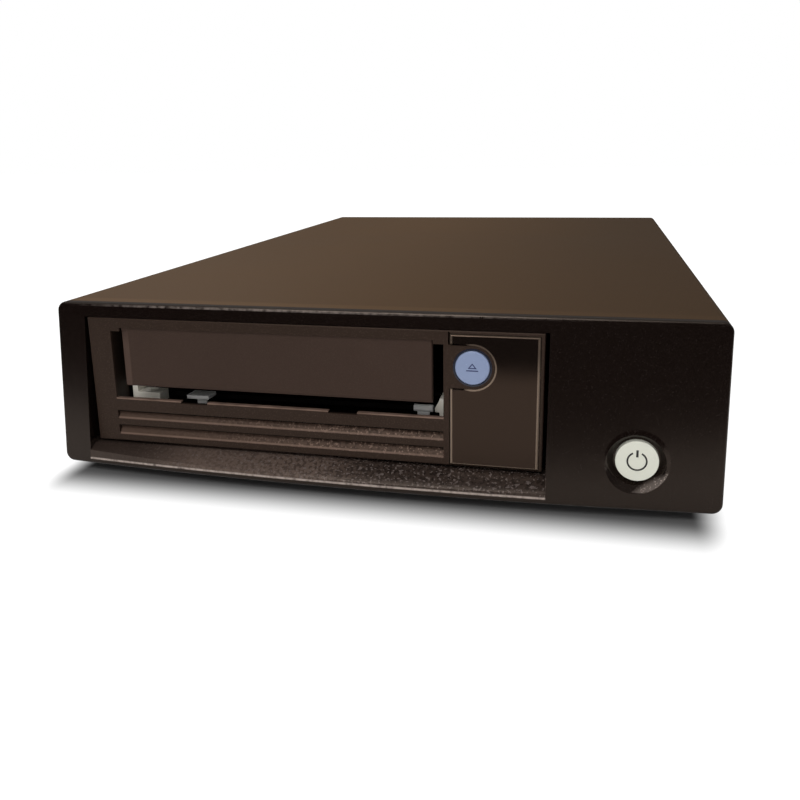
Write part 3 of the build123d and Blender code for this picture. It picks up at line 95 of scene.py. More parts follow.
class Link:
    """One output socket of a node tree, with the usual arithmetic."""

    __add__ = arithmetic("ADD")
    __radd__ = arithmetic("ADD", True)
    __sub__ = arithmetic("SUBTRACT")
    __rsub__ = arithmetic("SUBTRACT", True)
    __mul__ = arithmetic("MULTIPLY")
    __rmul__ = arithmetic("MULTIPLY", True)
    __truediv__ = arithmetic("DIVIDE")
    __rtruediv__ = arithmetic("DIVIDE", True)

    def __init__(self, graph: "Graph", socket: bpy.types.NodeSocket) -> None:
        """Wraps a socket.

        Args:
            graph: The graph that the socket belongs to.
            socket: The output socket.
        """
        self.graph = graph
        self.socket = socket

    def root(self) -> "Link":
        """Square root."""
        return self.graph.maths("SQRT", self, 0.0)

    def beyond(self, half: float) -> "Link":
        """How far the value lies outside plus or minus a half width; 0 inside."""
        size = self.graph.maths("ABSOLUTE", self)
        return self.graph.maths("MAXIMUM", size - half, 0.0)

    def between(self, low: float, high: float, blur: float) -> "Link":
        """A soft mask, 1 between two values; the blur is half the width of each step."""
        return self.above(low, blur) * (1.0 - self.above(high, blur))

    def above(self, edge: float, blur: float) -> "Link":
        """A soft mask, 1 above an edge; the blur is half the width of the step."""
        return self.graph.add("ShaderNodeMapRange", {"interpolation_type": "SMOOTHSTEP"},
                              {0: self, 1: edge - blur, 2: edge + blur, 3: 0.0, 4: 1.0})


class Graph:
    """The node tree of one material or world."""

    def __init__(self, tree: bpy.types.NodeTree) -> None:
        """Clears a tree and takes it over.

        Args:
            tree: The node tree to fill.
        """
        self.tree = tree
        tree.nodes.clear()

    def add(self, kind: str, settings: dict[str, Any] | None = None,
            inputs: dict[int | str, Any] | None = None, output: int | str = 0) -> Link:
        """Adds one node, sets its settings first and then its sockets.

        Args:
            kind: The node's type.
            settings: Attributes of the node.
            inputs: Values or links by socket name or number.
            output: Which output to return.

        Returns:
            The chosen output, or the first input of a node without outputs.
        """
        node = self.tree.nodes.new(kind)
        for key, value in (settings or {}).items():
            setattr(node, key, value)
        for key, value in (inputs or {}).items():
            if isinstance(value, Link):
                self.tree.links.new(value.socket, node.inputs[key])
            elif value is not None:
                node.inputs[key].default_value = value
        return Link(self, node.outputs[output] if len(node.outputs) else node.inputs[0])

    def maths(self, operation: str, *values: Any) -> Link:
        """Adds a Math node on one or two numbers or links."""
        return self.add("ShaderNodeMath", {"operation": operation}, dict(enumerate(values)))

    def split(self, vector: Link) -> tuple[Link, Link, Link]:
        """The X, Y and Z of a vector.

        Args:
            vector: The vector.

        Returns:
            Its three parts.
        """
        node = self.tree.nodes.new("ShaderNodeSeparateXYZ")
        self.tree.links.new(vector.socket, node.inputs[0])
        return tuple(Link(self, socket) for socket in node.outputs)

    def place(self) -> Link:
        """The object's own coordinates, in metres."""
        return self.add("ShaderNodeTexCoord", output="Object")

    def axes(self) -> tuple[Link, Link, Link]:
        """The object's X, Y and Z, in metres."""
        return self.split(self.place())

    def disc(self, centre: tuple[float, float], radius: float, blur: float) -> Link:
        """A soft mask that is 1 outside a circle seen from the front.

        Args:
            centre: The circle's centre, as X and Z.
            radius: Its radius.
            blur: Half the width of the step.

        Returns:
            The mask, from 0 to 1.
        """
        across, _, up = self.axes()
        side = across - centre[0]
        rise = up - centre[1]
        return (side * side + rise * rise).root().above(radius, blur)

    def noise(self, pattern: tuple[float, float], where: Link | None = None) -> Link:
        """Noise from 0 to 1.

        Args:
            pattern: Its scale and its octaves.
            where: The coordinates, or None for the object's own.

        Returns:
            The noise.
        """
        scale, detail = pattern
        return self.add("ShaderNodeTexNoise", None,
                        {"Vector": where or self.place(), "Scale": scale, "Detail": detail})

    def mix(self, factor: Any, first: Any, second: Any) -> Link:
        """Mixes two colours.

        Args:
            factor: 0 for the first, 1 for the second.
            first: A colour or link.
            second: A colour or link.

        Returns:
            The mixed colour.
        """
        def full(colour: Any) -> Any:
            """Adds alpha to a plain colour."""
            return (*colour, 1.0) if isinstance(colour, tuple) and len(colour) == 3 else colour
        return self.add("ShaderNodeMix", {"data_type": "RGBA"},
                        {0: factor, 6: full(first), 7: full(second)}, output=2)

    def stretch(self, scale: Point) -> Link:
        """The object's coordinates, scaled by a factor along each axis."""
        return self.add("ShaderNodeMapping", None, {"Vector": self.place(), "Scale": scale})

    def bump(self, height: Link, strength: float, distance: float) -> Link:
        """A bump normal from a height pattern; the distance is a full step in metres."""
        return self.add("ShaderNodeBump", None,
                        {"Height": height, "Strength": strength, "Distance": distance})


class Pattern:
    """Noise patterns, as patterns per metre and octaves."""

    BROAD = (9.0, 3.0)
    CLOUD = (24.0, 3.0)
    STREAK = (30.0, 4.0)
    DRIFT = (45.0, 3.0)
    PATCH = (60.0, 3.0)
    SWIRL = (120.0, 4.0)
    HIGHLIGHT_BREAKUP = (160.0, 3.0)
    HIGHLIGHT_SPECKS = (420.0, 2.0)
    SPECKLE = (600.0, 3.0)
    PIT = (900.0, 2.0)
    FLAKE = (1150.0, 1.0)
    SPARK = (1300.0, 1.0)
    DUST = (1500.0, 1.0)
    GLINT = (2300.0, 1.0)
    GRAIN = (2600.0, 2.0)


@dataclass(frozen=True)
class Finish:
    """What every finish shares: its name, colour and gloss. Places and widths are in metres."""

    name: str
    colour: Colour
    roughness: float = 0.5
    specular: float = 0.3
    sheen_tint: Colour = (1.0, 1.0, 1.0)

    def toned(self, factor: float, lift: float = 0.0, most: float = 1.0) -> Colour:
        """The colour times a factor, plus a lift, with no channel over the most."""
        return tuple(min(most, channel * factor + lift) for channel in self.colour)

    def paint(self, graph: Graph) -> dict[str, Any]:
        """The sockets that change over the surface.

        Args:
            graph: The material's graph.

        Returns:
            Values and links for the surface shader's sockets.
        """
        cloud = graph.noise(Pattern.DRIFT)
        return {"Base Color": graph.mix(cloud, self.colour, self.toned(1.18)),
                "Roughness": self.roughness + 0.06 * (cloud - 0.5)}

    def constants(self) -> dict[str, Any]:
        """The sockets that are the same all over the surface."""
        return {"Specular IOR Level": self.specular, "Specular Tint": (*self.sheen_tint, 1.0)}

    def material(self) -> bpy.types.Material:
        """Makes the material, once for each name.

        Returns:
            The material.
        """
        name = "finish_" + self.name
        found = bpy.data.materials.get(name)
        if found:
            return found
        made = bpy.data.materials.new(name)
        made.use_nodes = True
        graph = Graph(made.node_tree)
        surface = graph.add("ShaderNodeBsdfPrincipled", None, {**self.constants(), **self.paint(graph)})
        graph.add("ShaderNodeOutputMaterial", None, {"Surface": surface})
        return made


@dataclass(frozen=True)
class SheetPaint(Finish):
    """Baked paint on sheet steel: broad soft clouds and a very fine orange peel, with a painted highlight
    behind the seam and painted shade towards +X.
    """

    peel: float = 0.12
    peel_height: float = 0.00004
    seam: tuple[float, float] = (-0.1538, -0.1483)
    painted_shade_side: tuple[float, float] = (0.03, 0.09)

    def paint(self, graph: Graph) -> dict[str, Any]:
        """Clouded colour with a fine grain, a painted highlight behind the seam and painted shade towards
        +X.

        Args:
            graph: The material's graph.

        Returns:
            Values and links for the surface shader's sockets.
        """
        cloud = graph.noise(Pattern.BROAD)
        grain = graph.noise(Pattern.GRAIN)
        peel = graph.noise(Pattern.PIT)
        across, along, _ = graph.axes()
        painted_light_band = along.between(*self.seam, 0.0012)
        base = graph.mix(cloud, self.toned(0.86), self.toned(1.12))
        # Painted highlight: a paler band just behind the seam.
        base = graph.mix(painted_light_band * 0.30, base, self.toned(1.7))
        # Painted shade: the cover darker towards +X.
        base = graph.mix(across.above(*self.painted_shade_side) * 0.70, base, self.toned(0.35))
        return {"Base Color": graph.mix(grain.above(0.66, 0.05) * 0.25, base, self.toned(2.2)),
                "Roughness": self.roughness + 0.10 * (cloud - 0.5) + 0.05 * (grain - 0.5),
                "Normal": graph.bump(peel + 0.5 * grain, self.peel, self.peel_height)}


@dataclass(frozen=True)
class MouldedPlastic(Finish):
    """Spark-eroded plastic: a fine pitted grain with painted sparkle on its tips."""

    grain_size: float = 0.00045
    depth: float = 0.35
    sparkle: float = 0.5
    grain_height: float = 0.00006

    def paint(self, graph: Graph) -> dict[str, Any]:
        """Pitted grain with painted sparkle on its tips.

        Args:
            graph: The material's graph.

        Returns:
            Values and links for the surface shader's sockets.
        """
        scale = 1.0 / self.grain_size
        grain = graph.noise((scale, 2.0))
        cells = graph.add("ShaderNodeTexVoronoi", None, {"Vector": graph.place(), "Scale": scale * 0.8})
        tips = (1.0 - cells).above(0.72, 0.10)
        cloud = graph.noise(Pattern.CLOUD)
        base = graph.mix(cloud, self.toned(0.88), self.toned(1.12, most=1.12))
        # Painted sparkle: the grain's tips lighter, standing in for glints.
        return {"Base Color": graph.mix(tips * grain * self.sparkle, base, self.toned(3.2, 0.012)),
                "Roughness": self.roughness + 0.10 * (grain - 0.5) + 0.06 * (cloud - 0.5),
                "Normal": graph.bump(grain + 0.4 * tips, self.depth, self.grain_height)}


@dataclass(frozen=True)
class CaseFront(MouldedPlastic):
    """The case's front: coarse sparkle and painted light on the sill, a polished dish with painted glints
    round the power button, painted shade on the top strip and painted highlights along the top edge and the
    sill's lower edge.

    Pairs of places run from low to high. A pair that ends in a blur is the middle of a soft
    step and half its width.
    """

    button: tuple[float, float] = (0.0825, 0.0174)
    dish: float = 0.0092
    crescent_way: tuple[float, float] = (0.55, 0.83)
    crescent: tuple[float, float] = (0.0074, 0.0008)
    window: tuple[float, float] = (-0.0962, 0.0570)
    sill: tuple[float, float] = (0.0052, 0.0108)
    lit: tuple[float, float] = (-0.064, -0.008)
    lit_blur: float = 0.018
    pitted: tuple[float, float] = (-0.045, 0.04)
    flaked: tuple[float, float] = (-0.050, 0.05)
    brim: float = 0.0006
    edge: float = -0.1566
    edge_line: tuple[float, float] = (0.0006, 0.0002)
    rim: float = 0.0570
    strip_low: float = 0.0573
    line_left: tuple[float, float] = (-0.085, 0.02)
    line_right: tuple[float, float] = (0.02, 0.06)
    glint: Colour = (0.42, 0.35, 0.31)
    frost: Colour = (0.15, 0.12, 0.11)
    pale: Colour = (0.105, 0.074, 0.060)

    def paint(self, graph: Graph) -> dict[str, Any]:
        """The moulded grain, with painted light, shade and highlights on its regions.

        Args:
            graph: The material's graph.

        Returns:
            Values and links for the surface shader's sockets.
        """
        sockets = super().paint(graph)
        across, along, up = graph.axes()
        blur = 0.0002
        window = across.between(*self.window, 0.0003)
        sill = window * up.between(*self.sill, 0.0004)
        flakes = graph.noise(Pattern.FLAKE).above(0.62, 0.04)
        base = self._sill(graph, sockets["Base Color"], sill, flakes)
        # Painted highlight: a speckled line along the sill's lower edge.
        brim = window * up.between(self.sill[0] - self.brim, self.sill[0], blur)
        base = graph.mix(brim * graph.noise(Pattern.SPECKLE).above(0.35, 0.3), base, self.glint)
        inside = 1.0 - graph.disc(self.button, self.dish, blur)
        glints = graph.noise(Pattern.GLINT).above(0.64, 0.04)
        # Painted glints speckled over the dish.
        base = graph.mix(inside * glints * 0.08, base, self.frost)
        # Painted highlight: a glinting crescent on the dish's lower right.
        right, down = self.crescent_way
        low_right = right * (across - self.button[0]) - down * (up - self.button[1])
        shine = inside * low_right.above(*self.crescent) * (0.3 + glints * 0.7)
        base = graph.mix(shine, base, self.glint)
        # Painted shade: the strip on top of the front moulding darker, and rougher.
        strip = along.above(self.edge, blur) * up.above(self.strip_low, blur)
        base = graph.mix(strip * 0.8, base, self.toned(0.3))
        # Painted highlight: a speckled bright line along the rounded top front edge.
        front, back = self.edge_line
        line = along.between(self.edge - front, self.edge - back, blur) * up.above(self.rim, blur)
        ends = across.above(*self.line_left) * (1.0 - across.above(*self.line_right))
        bright = line * ends * graph.noise(Pattern.HIGHLIGHT_SPECKS).above(0.45, 0.2)
        sockets["Base Color"] = graph.mix(bright * 0.5, base, self.glint)
        sockets["Roughness"] = sockets["Roughness"] - 0.22 * inside - 0.10 * sill * flakes + 0.6 * strip
        return sockets

    def _sill(self, graph: Graph, base: Link, sill: Link, flakes: Link) -> Link:
        """Paints the sill: painted light over its middle, dark pits and pale flakes.

        Args:
            graph: The material's graph.
            base: The colour so far.
            sill: Where the sill is, from 0 to 1.
            flakes: The flakes' pattern.

        Returns:
            The new colour.
        """
        across = graph.axes()[0]
        lit = 0.28 + 0.9 * across.between(*self.lit, self.lit_blur)
        pits = graph.noise(Pattern.PIT).above(0.52, 0.06) * (0.15 + 0.85 * across.above(*self.pitted))
        # Painted light: the sill lifted towards a paler colour, most across its middle, against the shade of
        # its recess.
        base = graph.mix(sill * lit, base, self.pale)
        base = graph.mix(sill * pits * 0.55, base, self.toned(0.5))
        return graph.mix(sill * flakes * across.above(*self.flaked) * 0.8, base, self.frost)


@dataclass(frozen=True)
class DriveFace(MouldedPlastic):
    """The drive's front moulding: painted highlights on the slot's lip and on the two ledges, with painted
    shade under the ledges and in the slot.
    """

    slot: tuple[float, float] = (-0.0866, 0.0256)
    front: tuple[float, float] = (-0.1562, 0.0003)
    lip: float = 0.0257
    lip_half: float = 0.0004
    hollow: tuple[float, float] = (-0.1568, 0.0225)
    ledges: tuple[tuple[float, float], ...] = ((0.0212, 0.0183), (0.0161, 0.0127))
    shadow_line: tuple[float, float] = (-0.0008, 0.0001)
    crest_line: tuple[float, float] = (0.0001, 0.0006)
    sparkling: tuple[float, float] = (-0.03, 0.05)
    pitted: tuple[float, float] = (-0.045, 0.05)

    def paint(self, graph: Graph) -> dict[str, Any]:
        """The moulded grain, with painted highlights, painted light and sparkle on the ledges, and painted
        shade.

        Args:
            graph: The material's graph.

        Returns:
            Values and links for the surface shader's sockets.
        """
        sockets = super().paint(graph)
        across, along, up = graph.axes()
        inside = across.between(*self.slot, 0.0002)
        painted_highlight = self.toned(6.5, 0.02)
        black = self.toned(0.1)
        base = sockets["Base Color"]
        highlight_breakup = graph.noise(Pattern.HIGHLIGHT_BREAKUP)
        sparks = graph.noise(Pattern.SPARK).above(0.62, 0.04) * across.above(*self.sparkling)
        pits = graph.noise(Pattern.PIT).above(0.54, 0.06) * (0.1 + 0.9 * across.above(*self.pitted))
        # Each ledge: painted light on its sloping blade, a painted shadow line under the ledge above and a
        # painted highlight on its crest; the dark pits are grain.
        for start, crest in self.ledges:
            blade = inside * up.between(crest, start, 0.0001)
            shadow, light = (inside * up.between(level + line[0], level + line[1], 0.00015)
                             for level, line in ((start, self.shadow_line), (crest, self.crest_line)))
            for amount, colour in ((blade, self.toned(2.3)), (blade * pits * 0.5, black),
                                   (blade * sparks * 0.9, painted_highlight), (shadow, black),
                                   (light * (0.25 + 0.6 * highlight_breakup), painted_highlight)):
                base = graph.mix(amount, base, colour)
        # Painted shade: the slot's hollow behind the lip made nearly black.
        behind, above = self.hollow
        hollow = inside * along.above(behind, 0.0002) * up.above(above, 0.0002)
        base = graph.mix(hollow * 0.95, base, black)
        # Painted highlight along the slot's lip, broken up by noise.
        edge = inside * (1.0 - along.above(*self.front)) * up.between(
            self.lip - self.lip_half, self.lip + self.lip_half, 0.0001)
        sockets["Base Color"] = graph.mix(edge * highlight_breakup * 1.6, base, painted_highlight)
        return sockets


@dataclass(frozen=True)
class DoorFace(MouldedPlastic):
    """The flap, with painted light on the slanted band at its left end."""

    band: tuple[float, float] = (-0.0832, -0.0804)
    band_top: tuple[float, float] = (0.0470, 0.0040)

    def paint(self, graph: Graph) -> dict[str, Any]:
        """The moulded grain, with painted light on the band.

        Args:
            graph: The material's graph.

        Returns:
            Values and links for the surface shader's sockets.
        """
        sockets = super().paint(graph)
        across, _, up = graph.axes()
        painted_light_band = across.between(*self.band, 0.0003) * (1.0 - up.above(*self.band_top))
        # Painted light on the slanted band at the flap's left end.
        sockets["Base Color"] = graph.mix(painted_light_band * 0.6, sockets["Base Color"], self.toned(2.0))
        return sockets


@dataclass(frozen=True)
class GlossPlastic(Finish):
    """Polished plastic with faint swirl marks and a thin clear coat."""

    coat: float = 0.4

    def paint(self, graph: Graph) -> dict[str, Any]:
        """Faint swirls and specks of dust.

        Args:
            graph: The material's graph.

        Returns:
            Values and links for the surface shader's sockets.
        """
        swirl = graph.noise(Pattern.SWIRL)
        dust = graph.noise(Pattern.DUST).above(0.74, 0.03)
        return {"Base Color": graph.mix(dust * 0.35, self.colour, self.toned(1.6, 0.01)),
                "Roughness": self.roughness + 0.05 * (swirl - 0.5) + 0.12 * dust}

    def constants(self) -> dict[str, Any]:
        """Adds the clear coat."""
        return {**super().constants(), "Coat Weight": self.coat, "Coat Roughness": 0.06}


@dataclass(frozen=True)
class SmokedLens(GlossPlastic):
    """The lens: smoked plastic with painted highlights on its rolled edges."""

    width: tuple[float, float] = (0.0275, 0.0544)
    height: tuple[float, float] = (0.0108, 0.0521)
    roll: float = 0.0008
    notch_centre: tuple[float, float] = (0.0344, 0.0420)
    notch: float = 0.0068
    rim: Colour = (0.22, 0.165, 0.125)

    def paint(self, graph: Graph) -> dict[str, Any]:
        """The gloss, with painted highlights and duller edges, most of all below the notch.

        Args:
            graph: The material's graph.

        Returns:
            Values and links for the surface shader's sockets.
        """
        sockets = super().paint(graph)
        across, _, up = graph.axes()
        blur = 0.00015
        flat = graph.disc(self.notch_centre, self.notch + 0.6 * self.roll, blur)
        for place, (low, high), share in ((across, self.width, 1.0), (up, self.height, 0.7)):
            flat = flat * place.between(low + share * self.roll, high - share * self.roll, blur)
        glow = 0.35 + 0.65 * (1.0 - up.above(self.notch_centre[1], 0.006))
        # Painted highlight on the rolled edges, strongest below the notch.
        rim = (1.0 - flat) * glow
        sockets["Base Color"] = graph.mix(rim, sockets["Base Color"], self.rim)
        sockets["Roughness"] = sockets["Roughness"] + 0.25 * rim
        return sockets


@dataclass(frozen=True)
class Metal(Finish):
    """Bare or plated metal with drawn or rolled lines along one axis."""

    lines: Point = (40.0, 40.0, 40.0)
    streak: float = 0.12

    def paint(self, graph: Graph) -> dict[str, Any]:
        """Fine streaks and a few dull patches.

        Args:
            graph: The material's graph.

        Returns:
            Values and links for the surface shader's sockets.
        """
        streaks = graph.noise(Pattern.STREAK, graph.stretch(self.lines))
        patch = graph.noise(Pattern.PATCH)
        return {"Base Color": graph.mix(patch, self.toned(0.80), self.colour),
                "Roughness": self.roughness + self.streak * (streaks - 0.5) + 0.08 * (patch - 0.5),
                "Normal": graph.bump(streaks, 0.10, 0.00003)}

    def constants(self) -> dict[str, Any]:
        """Metal all over."""
        return {"Metallic": 1.0}


@dataclass(frozen=True)
class Circuit(Finish):
    """Circuit board lacquer over copper tracks."""

    track: Colour = (0.02, 0.16, 0.06)
    pitch: float = 0.0016

    def paint(self, graph: Graph) -> dict[str, Any]:
        """Tracks in a square maze, a little lighter than the lacquer.

        Args:
            graph: The material's graph.

        Returns:
            Values and links for the surface shader's sockets.
        """
        cells = graph.add("ShaderNodeTexVoronoi", {"distance": "MANHATTAN", "feature": "F1"},
                          {"Vector": graph.place(), "Scale": 1 / (4 * self.pitch)})
        tracks = graph.maths("FRACT", cells * 3.0).above(0.62, 0.06)
        return {"Base Color": graph.mix(tracks, self.colour, self.track),
                "Roughness": self.roughness - 0.08 * tracks,
                "Normal": graph.bump(tracks, 0.3, 0.00004)}


def link_object(name: str, mesh: bpy.types.Mesh) -> bpy.types.Object:
    """Puts a mesh in the scene, at the origin, as an object with this name.

    Args:
        name: The piece's name.
        mesh: Its mesh.

    Returns:
        The new object.
    """
    made = bpy.data.objects.new(name, mesh)
    bpy.context.scene.collection.objects.link(made)
    return made


def bake_modifiers(piece: bpy.types.Object) -> None:
    """Turns the piece's modifiers into plain mesh.

    Args:
        piece: The object to settle.
    """
    graph = bpy.context.evaluated_depsgraph_get()
    graph.update()
    mesh = bpy.data.meshes.new_from_object(piece.evaluated_get(graph))
    piece.modifiers.clear()
    old = piece.data
    piece.data = mesh
    bpy.data.meshes.remove(old)


def smooth(piece: bpy.types.Object, angle: float = HARD_EDGE) -> None:
    """Shades a piece smooth, with its hard edges marked sharp and its flat faces kept flat.

    Args:
        piece: The piece.
        angle: The largest turn, in degrees, that still looks smooth.
    """
    work = bmesh.new()
    work.from_mesh(piece.data)
    limit = math.radians(angle)
    for face in work.faces:
        face.smooth = True
    for edge in work.edges:
        edge.smooth = len(edge.link_faces) == 2 and edge.calc_face_angle(0.0) < limit
    work.to_mesh(piece.data)
    work.free()
    flat = piece.modifiers.new("flat", "WEIGHTED_NORMAL")
    flat.keep_sharp = True
    bake_modifiers(piece)


def finish_piece(piece: bpy.types.Object, finish: Finish, body: str,
                 replaced: Sequence[str] = ()) -> None:
    """Gives a piece its material and body, and hides the nodes that it stands for.

    Args:
        piece: The finished mesh object.
        finish: Its surface.
        body: The CAD body that it rides on.
        replaced: CAD nodes that it replaces.
    """
    piece.data.materials.clear()
    piece.data.materials.append(finish.material())
    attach(piece, body)
    if replaced:
        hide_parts(*replaced)
    LOG.info("%s: %d faces on %s", piece.name, len(piece.data.polygons), body)


def node_object(name: str) -> bpy.types.Object:
    """The frame's own object of a CAD node."""
    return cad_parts[name]


def copy_of_node(node: str, name: str) -> bpy.types.Object:
    """A merged copy of a CAD node, with its flat faces made whole.

    Args:
        node: The CAD node.
        name: The copy's name.

    Returns:
        The copy, at the origin.
    """
    source = node_object(node)
    work = bmesh.new()
    work.from_mesh(source.data)
    work.transform(source.matrix_world)
    bmesh.ops.remove_doubles(work, verts=work.verts, dist=WELD)
    bmesh.ops.dissolve_limit(work, angle_limit=math.radians(FLAT), verts=work.verts, edges=work.edges,
                             delimit={"NORMAL"})
    mesh = bpy.data.meshes.new(name)
    work.to_mesh(mesh)
    work.free()
    return link_object(name, mesh)


def soften(piece: bpy.types.Object, width: float, angle: float = HARD_EDGE) -> None:
    """Rounds the hard edges of a piece as a mould or a press leaves them.

    Args:
        piece: The piece.
        width: The width of the rounding, in metres.
        angle: Edges that turn more than this, in degrees, are rounded.
    """
    bevel = piece.modifiers.new("edge", "BEVEL")
    bevel.width = width
    bevel.segments = 2
    bevel.limit_method = "ANGLE"
    bevel.angle_limit = math.radians(angle)
    bevel.use_clamp_overlap = True
    bevel.miter_outer = "MITER_ARC"
    bake_modifiers(piece)


@dataclass
class View:
    """The photograph's camera."""

    place: Point = (67.3 * MM, -390.23 * MM, 107.33 * MM)
    yaw: float = 14.40
    pitch: float = 13.62
    roll: float = -1.16
    focal_pixels: float = 811.67
    centre_pixels: tuple[float, float] = (384.92, 340.99)
    frame_pixels: float = 800.0
    sensor: float = 36.0
    nearest: float = 0.01

    def build(self) -> None:
        """Makes the camera and looks through it."""
        data = bpy.data.cameras.new("camera")
        data.sensor_width = self.sensor
        data.lens = self.focal_pixels / self.frame_pixels * data.sensor_width
        half = self.frame_pixels / 2
        data.shift_x = (half - self.centre_pixels[0]) / self.frame_pixels
        data.shift_y = (self.centre_pixels[1] - half) / self.frame_pixels
        data.clip_start = self.nearest
        camera = bpy.data.objects.new("camera", data)
        turn = (Matrix.Rotation(math.radians(self.yaw), 4, "Z")
                @ Matrix.Rotation(math.radians(90.0 - self.pitch), 4, "X")
                @ Matrix.Rotation(math.radians(self.roll), 4, "Z"))
        camera.matrix_world = Matrix.Translation(self.place) @ turn
        bpy.context.scene.collection.objects.link(camera)
        bpy.context.scene.camera = camera


@dataclass(frozen=True)
class Lamp:
    """A square soft lamp; places and sizes are in metres, its power in watts."""

    name: str
    place: Point
    target: Point
    size: float
    power: float
    mirrored: bool = True

    def build(self) -> None:
        """Hangs the lamp and points it at its target."""
        data = bpy.data.lights.new(self.name, "AREA")
        data.size = self.size
        data.energy = self.power
        lamp = bpy.data.objects.new(self.name, data)
        lamp.location = self.place
        way = Vector(self.target) - Vector(self.place)
        lamp.rotation_euler = way.to_track_quat("-Z", "Y").to_euler()
        lamp.visible_glossy = self.mirrored
        bpy.context.scene.collection.objects.link(lamp)


@dataclass
class Studio:
    """White table, white surroundings and soft lamps; greys run from 0 to 1."""

    lamps: tuple[Lamp, ...] = (
        Lamp("key", (-0.12, 0.26, 1.20), (-0.02, 0.0, 0.03), 0.8, 8.0),
        Lamp("back", (-0.75, 0.75, 0.95), (0.0, 0.05, 0.05), 0.7, 2.5),
        Lamp("front", (-0.20, -0.95, 1.00), (0.0, -0.1, 0.03), 0.6, 6.6),
        Lamp("fill", (0.25, -1.25, 0.28), (0.0, -0.1, 0.03), 0.8, 4.0, mirrored=False))
    table: float = 6.0
    half_width: float = 0.1065
    half_depth: float = 0.166
    side_start: float = -0.008
    side_steep: float = 2.0
    front_start: float = -0.004
    reach: float = 0.023
    shade: float = 0.16
    front_edge: tuple[float, float] = (0.30, 0.02)
    bounce: float = 0.82
    mirrored: float = 0.03
    room: float = 0.26
    behind: float = 0.01
    behind_step: tuple[float, float] = (0.05, 0.35)
    height_step: tuple[float, float] = (0.55, 0.25)

    def build(self) -> None:
        """Makes the table, the world and the lamps."""
        self._table()
        self._world()
        for lamp in self.lamps:
            lamp.build()

    def _table(self) -> None:
        """A wide flat floor that stays white to the camera away from the case; near its footprint it keeps
        the real shadow and adds a painted shadow that fades out over the reach.
        """
        mesh = bpy.data.meshes.new("table")
        half = self.table / 2
        corners = [(-half, -half, 0.0), (half, -half, 0.0), (half, half, 0.0), (-half, half, 0.0)]
        mesh.from_pydata(corners, [], [(0, 1, 2, 3)])
        table = link_object("table", mesh)
        material = bpy.data.materials.new("table_white")
        material.use_nodes = True
        graph = Graph(material.node_tree)
        ray = graph.add("ShaderNodeLightPath", output="Is Camera Ray")
        glossy = graph.add("ShaderNodeLightPath", output="Is Glossy Ray")
        across, along, _ = graph.axes()
        # Painted shadow: the white glow fades out near the case's footprint, so the floor darkens there
        # under any lamp; the dim diffuse floor still carries the real shadow.
        side = across.beyond(self.half_width + self.side_start) * self.side_steep
        depth = along.beyond(self.half_depth + self.front_start)
        painted_shadow_fade = (side * side + depth * depth).root().above(self.reach / 2, self.reach / 2)
        ahead = (0.0 - along).above(*self.front_edge)
        lit = graph.mix(ray, (self.bounce,) * 3, (self.shade,) * 3)
        white = graph.mix(glossy * ahead, lit, (self.mirrored,) * 3)
        diffuse = graph.add("ShaderNodeBsdfDiffuse", None, {"Color": white})
        glow = graph.add("ShaderNodeEmission", None,
                         {"Color": (1.0, 1.0, 1.0, 1.0), "Strength": ray * painted_shadow_fade})
        both = graph.add("ShaderNodeAddShader", None, {0: diffuse, 1: glow})
        graph.add("ShaderNodeOutputMaterial", None, {"Surface": both})
        mesh.materials.append(material)

    def _world(self) -> None:
        """White to the camera; a soft room to the object, dark behind the camera."""
        world = bpy.data.worlds.new("room")
        bpy.context.scene.world = world
        world.use_nodes = True
        graph = Graph(world.node_tree)
        _, depth, height = graph.split(graph.add("ShaderNodeTexCoord", output="Generated"))
        front = (0.0 - depth).above(*self.behind_step)
        low = 1.0 - height.above(*self.height_step)
        room = graph.mix(front * low, (self.room,) * 3, (self.behind,) * 3)
        seen = graph.add("ShaderNodeLightPath", output="Is Camera Ray")
        colour = graph.mix(seen, room, (1.0, 1.0, 1.0))
        background = graph.add("ShaderNodeBackground", None, {"Color": colour, "Strength": 1.0})
        graph.add("ShaderNodeOutputWorld", None, {"Surface": background})


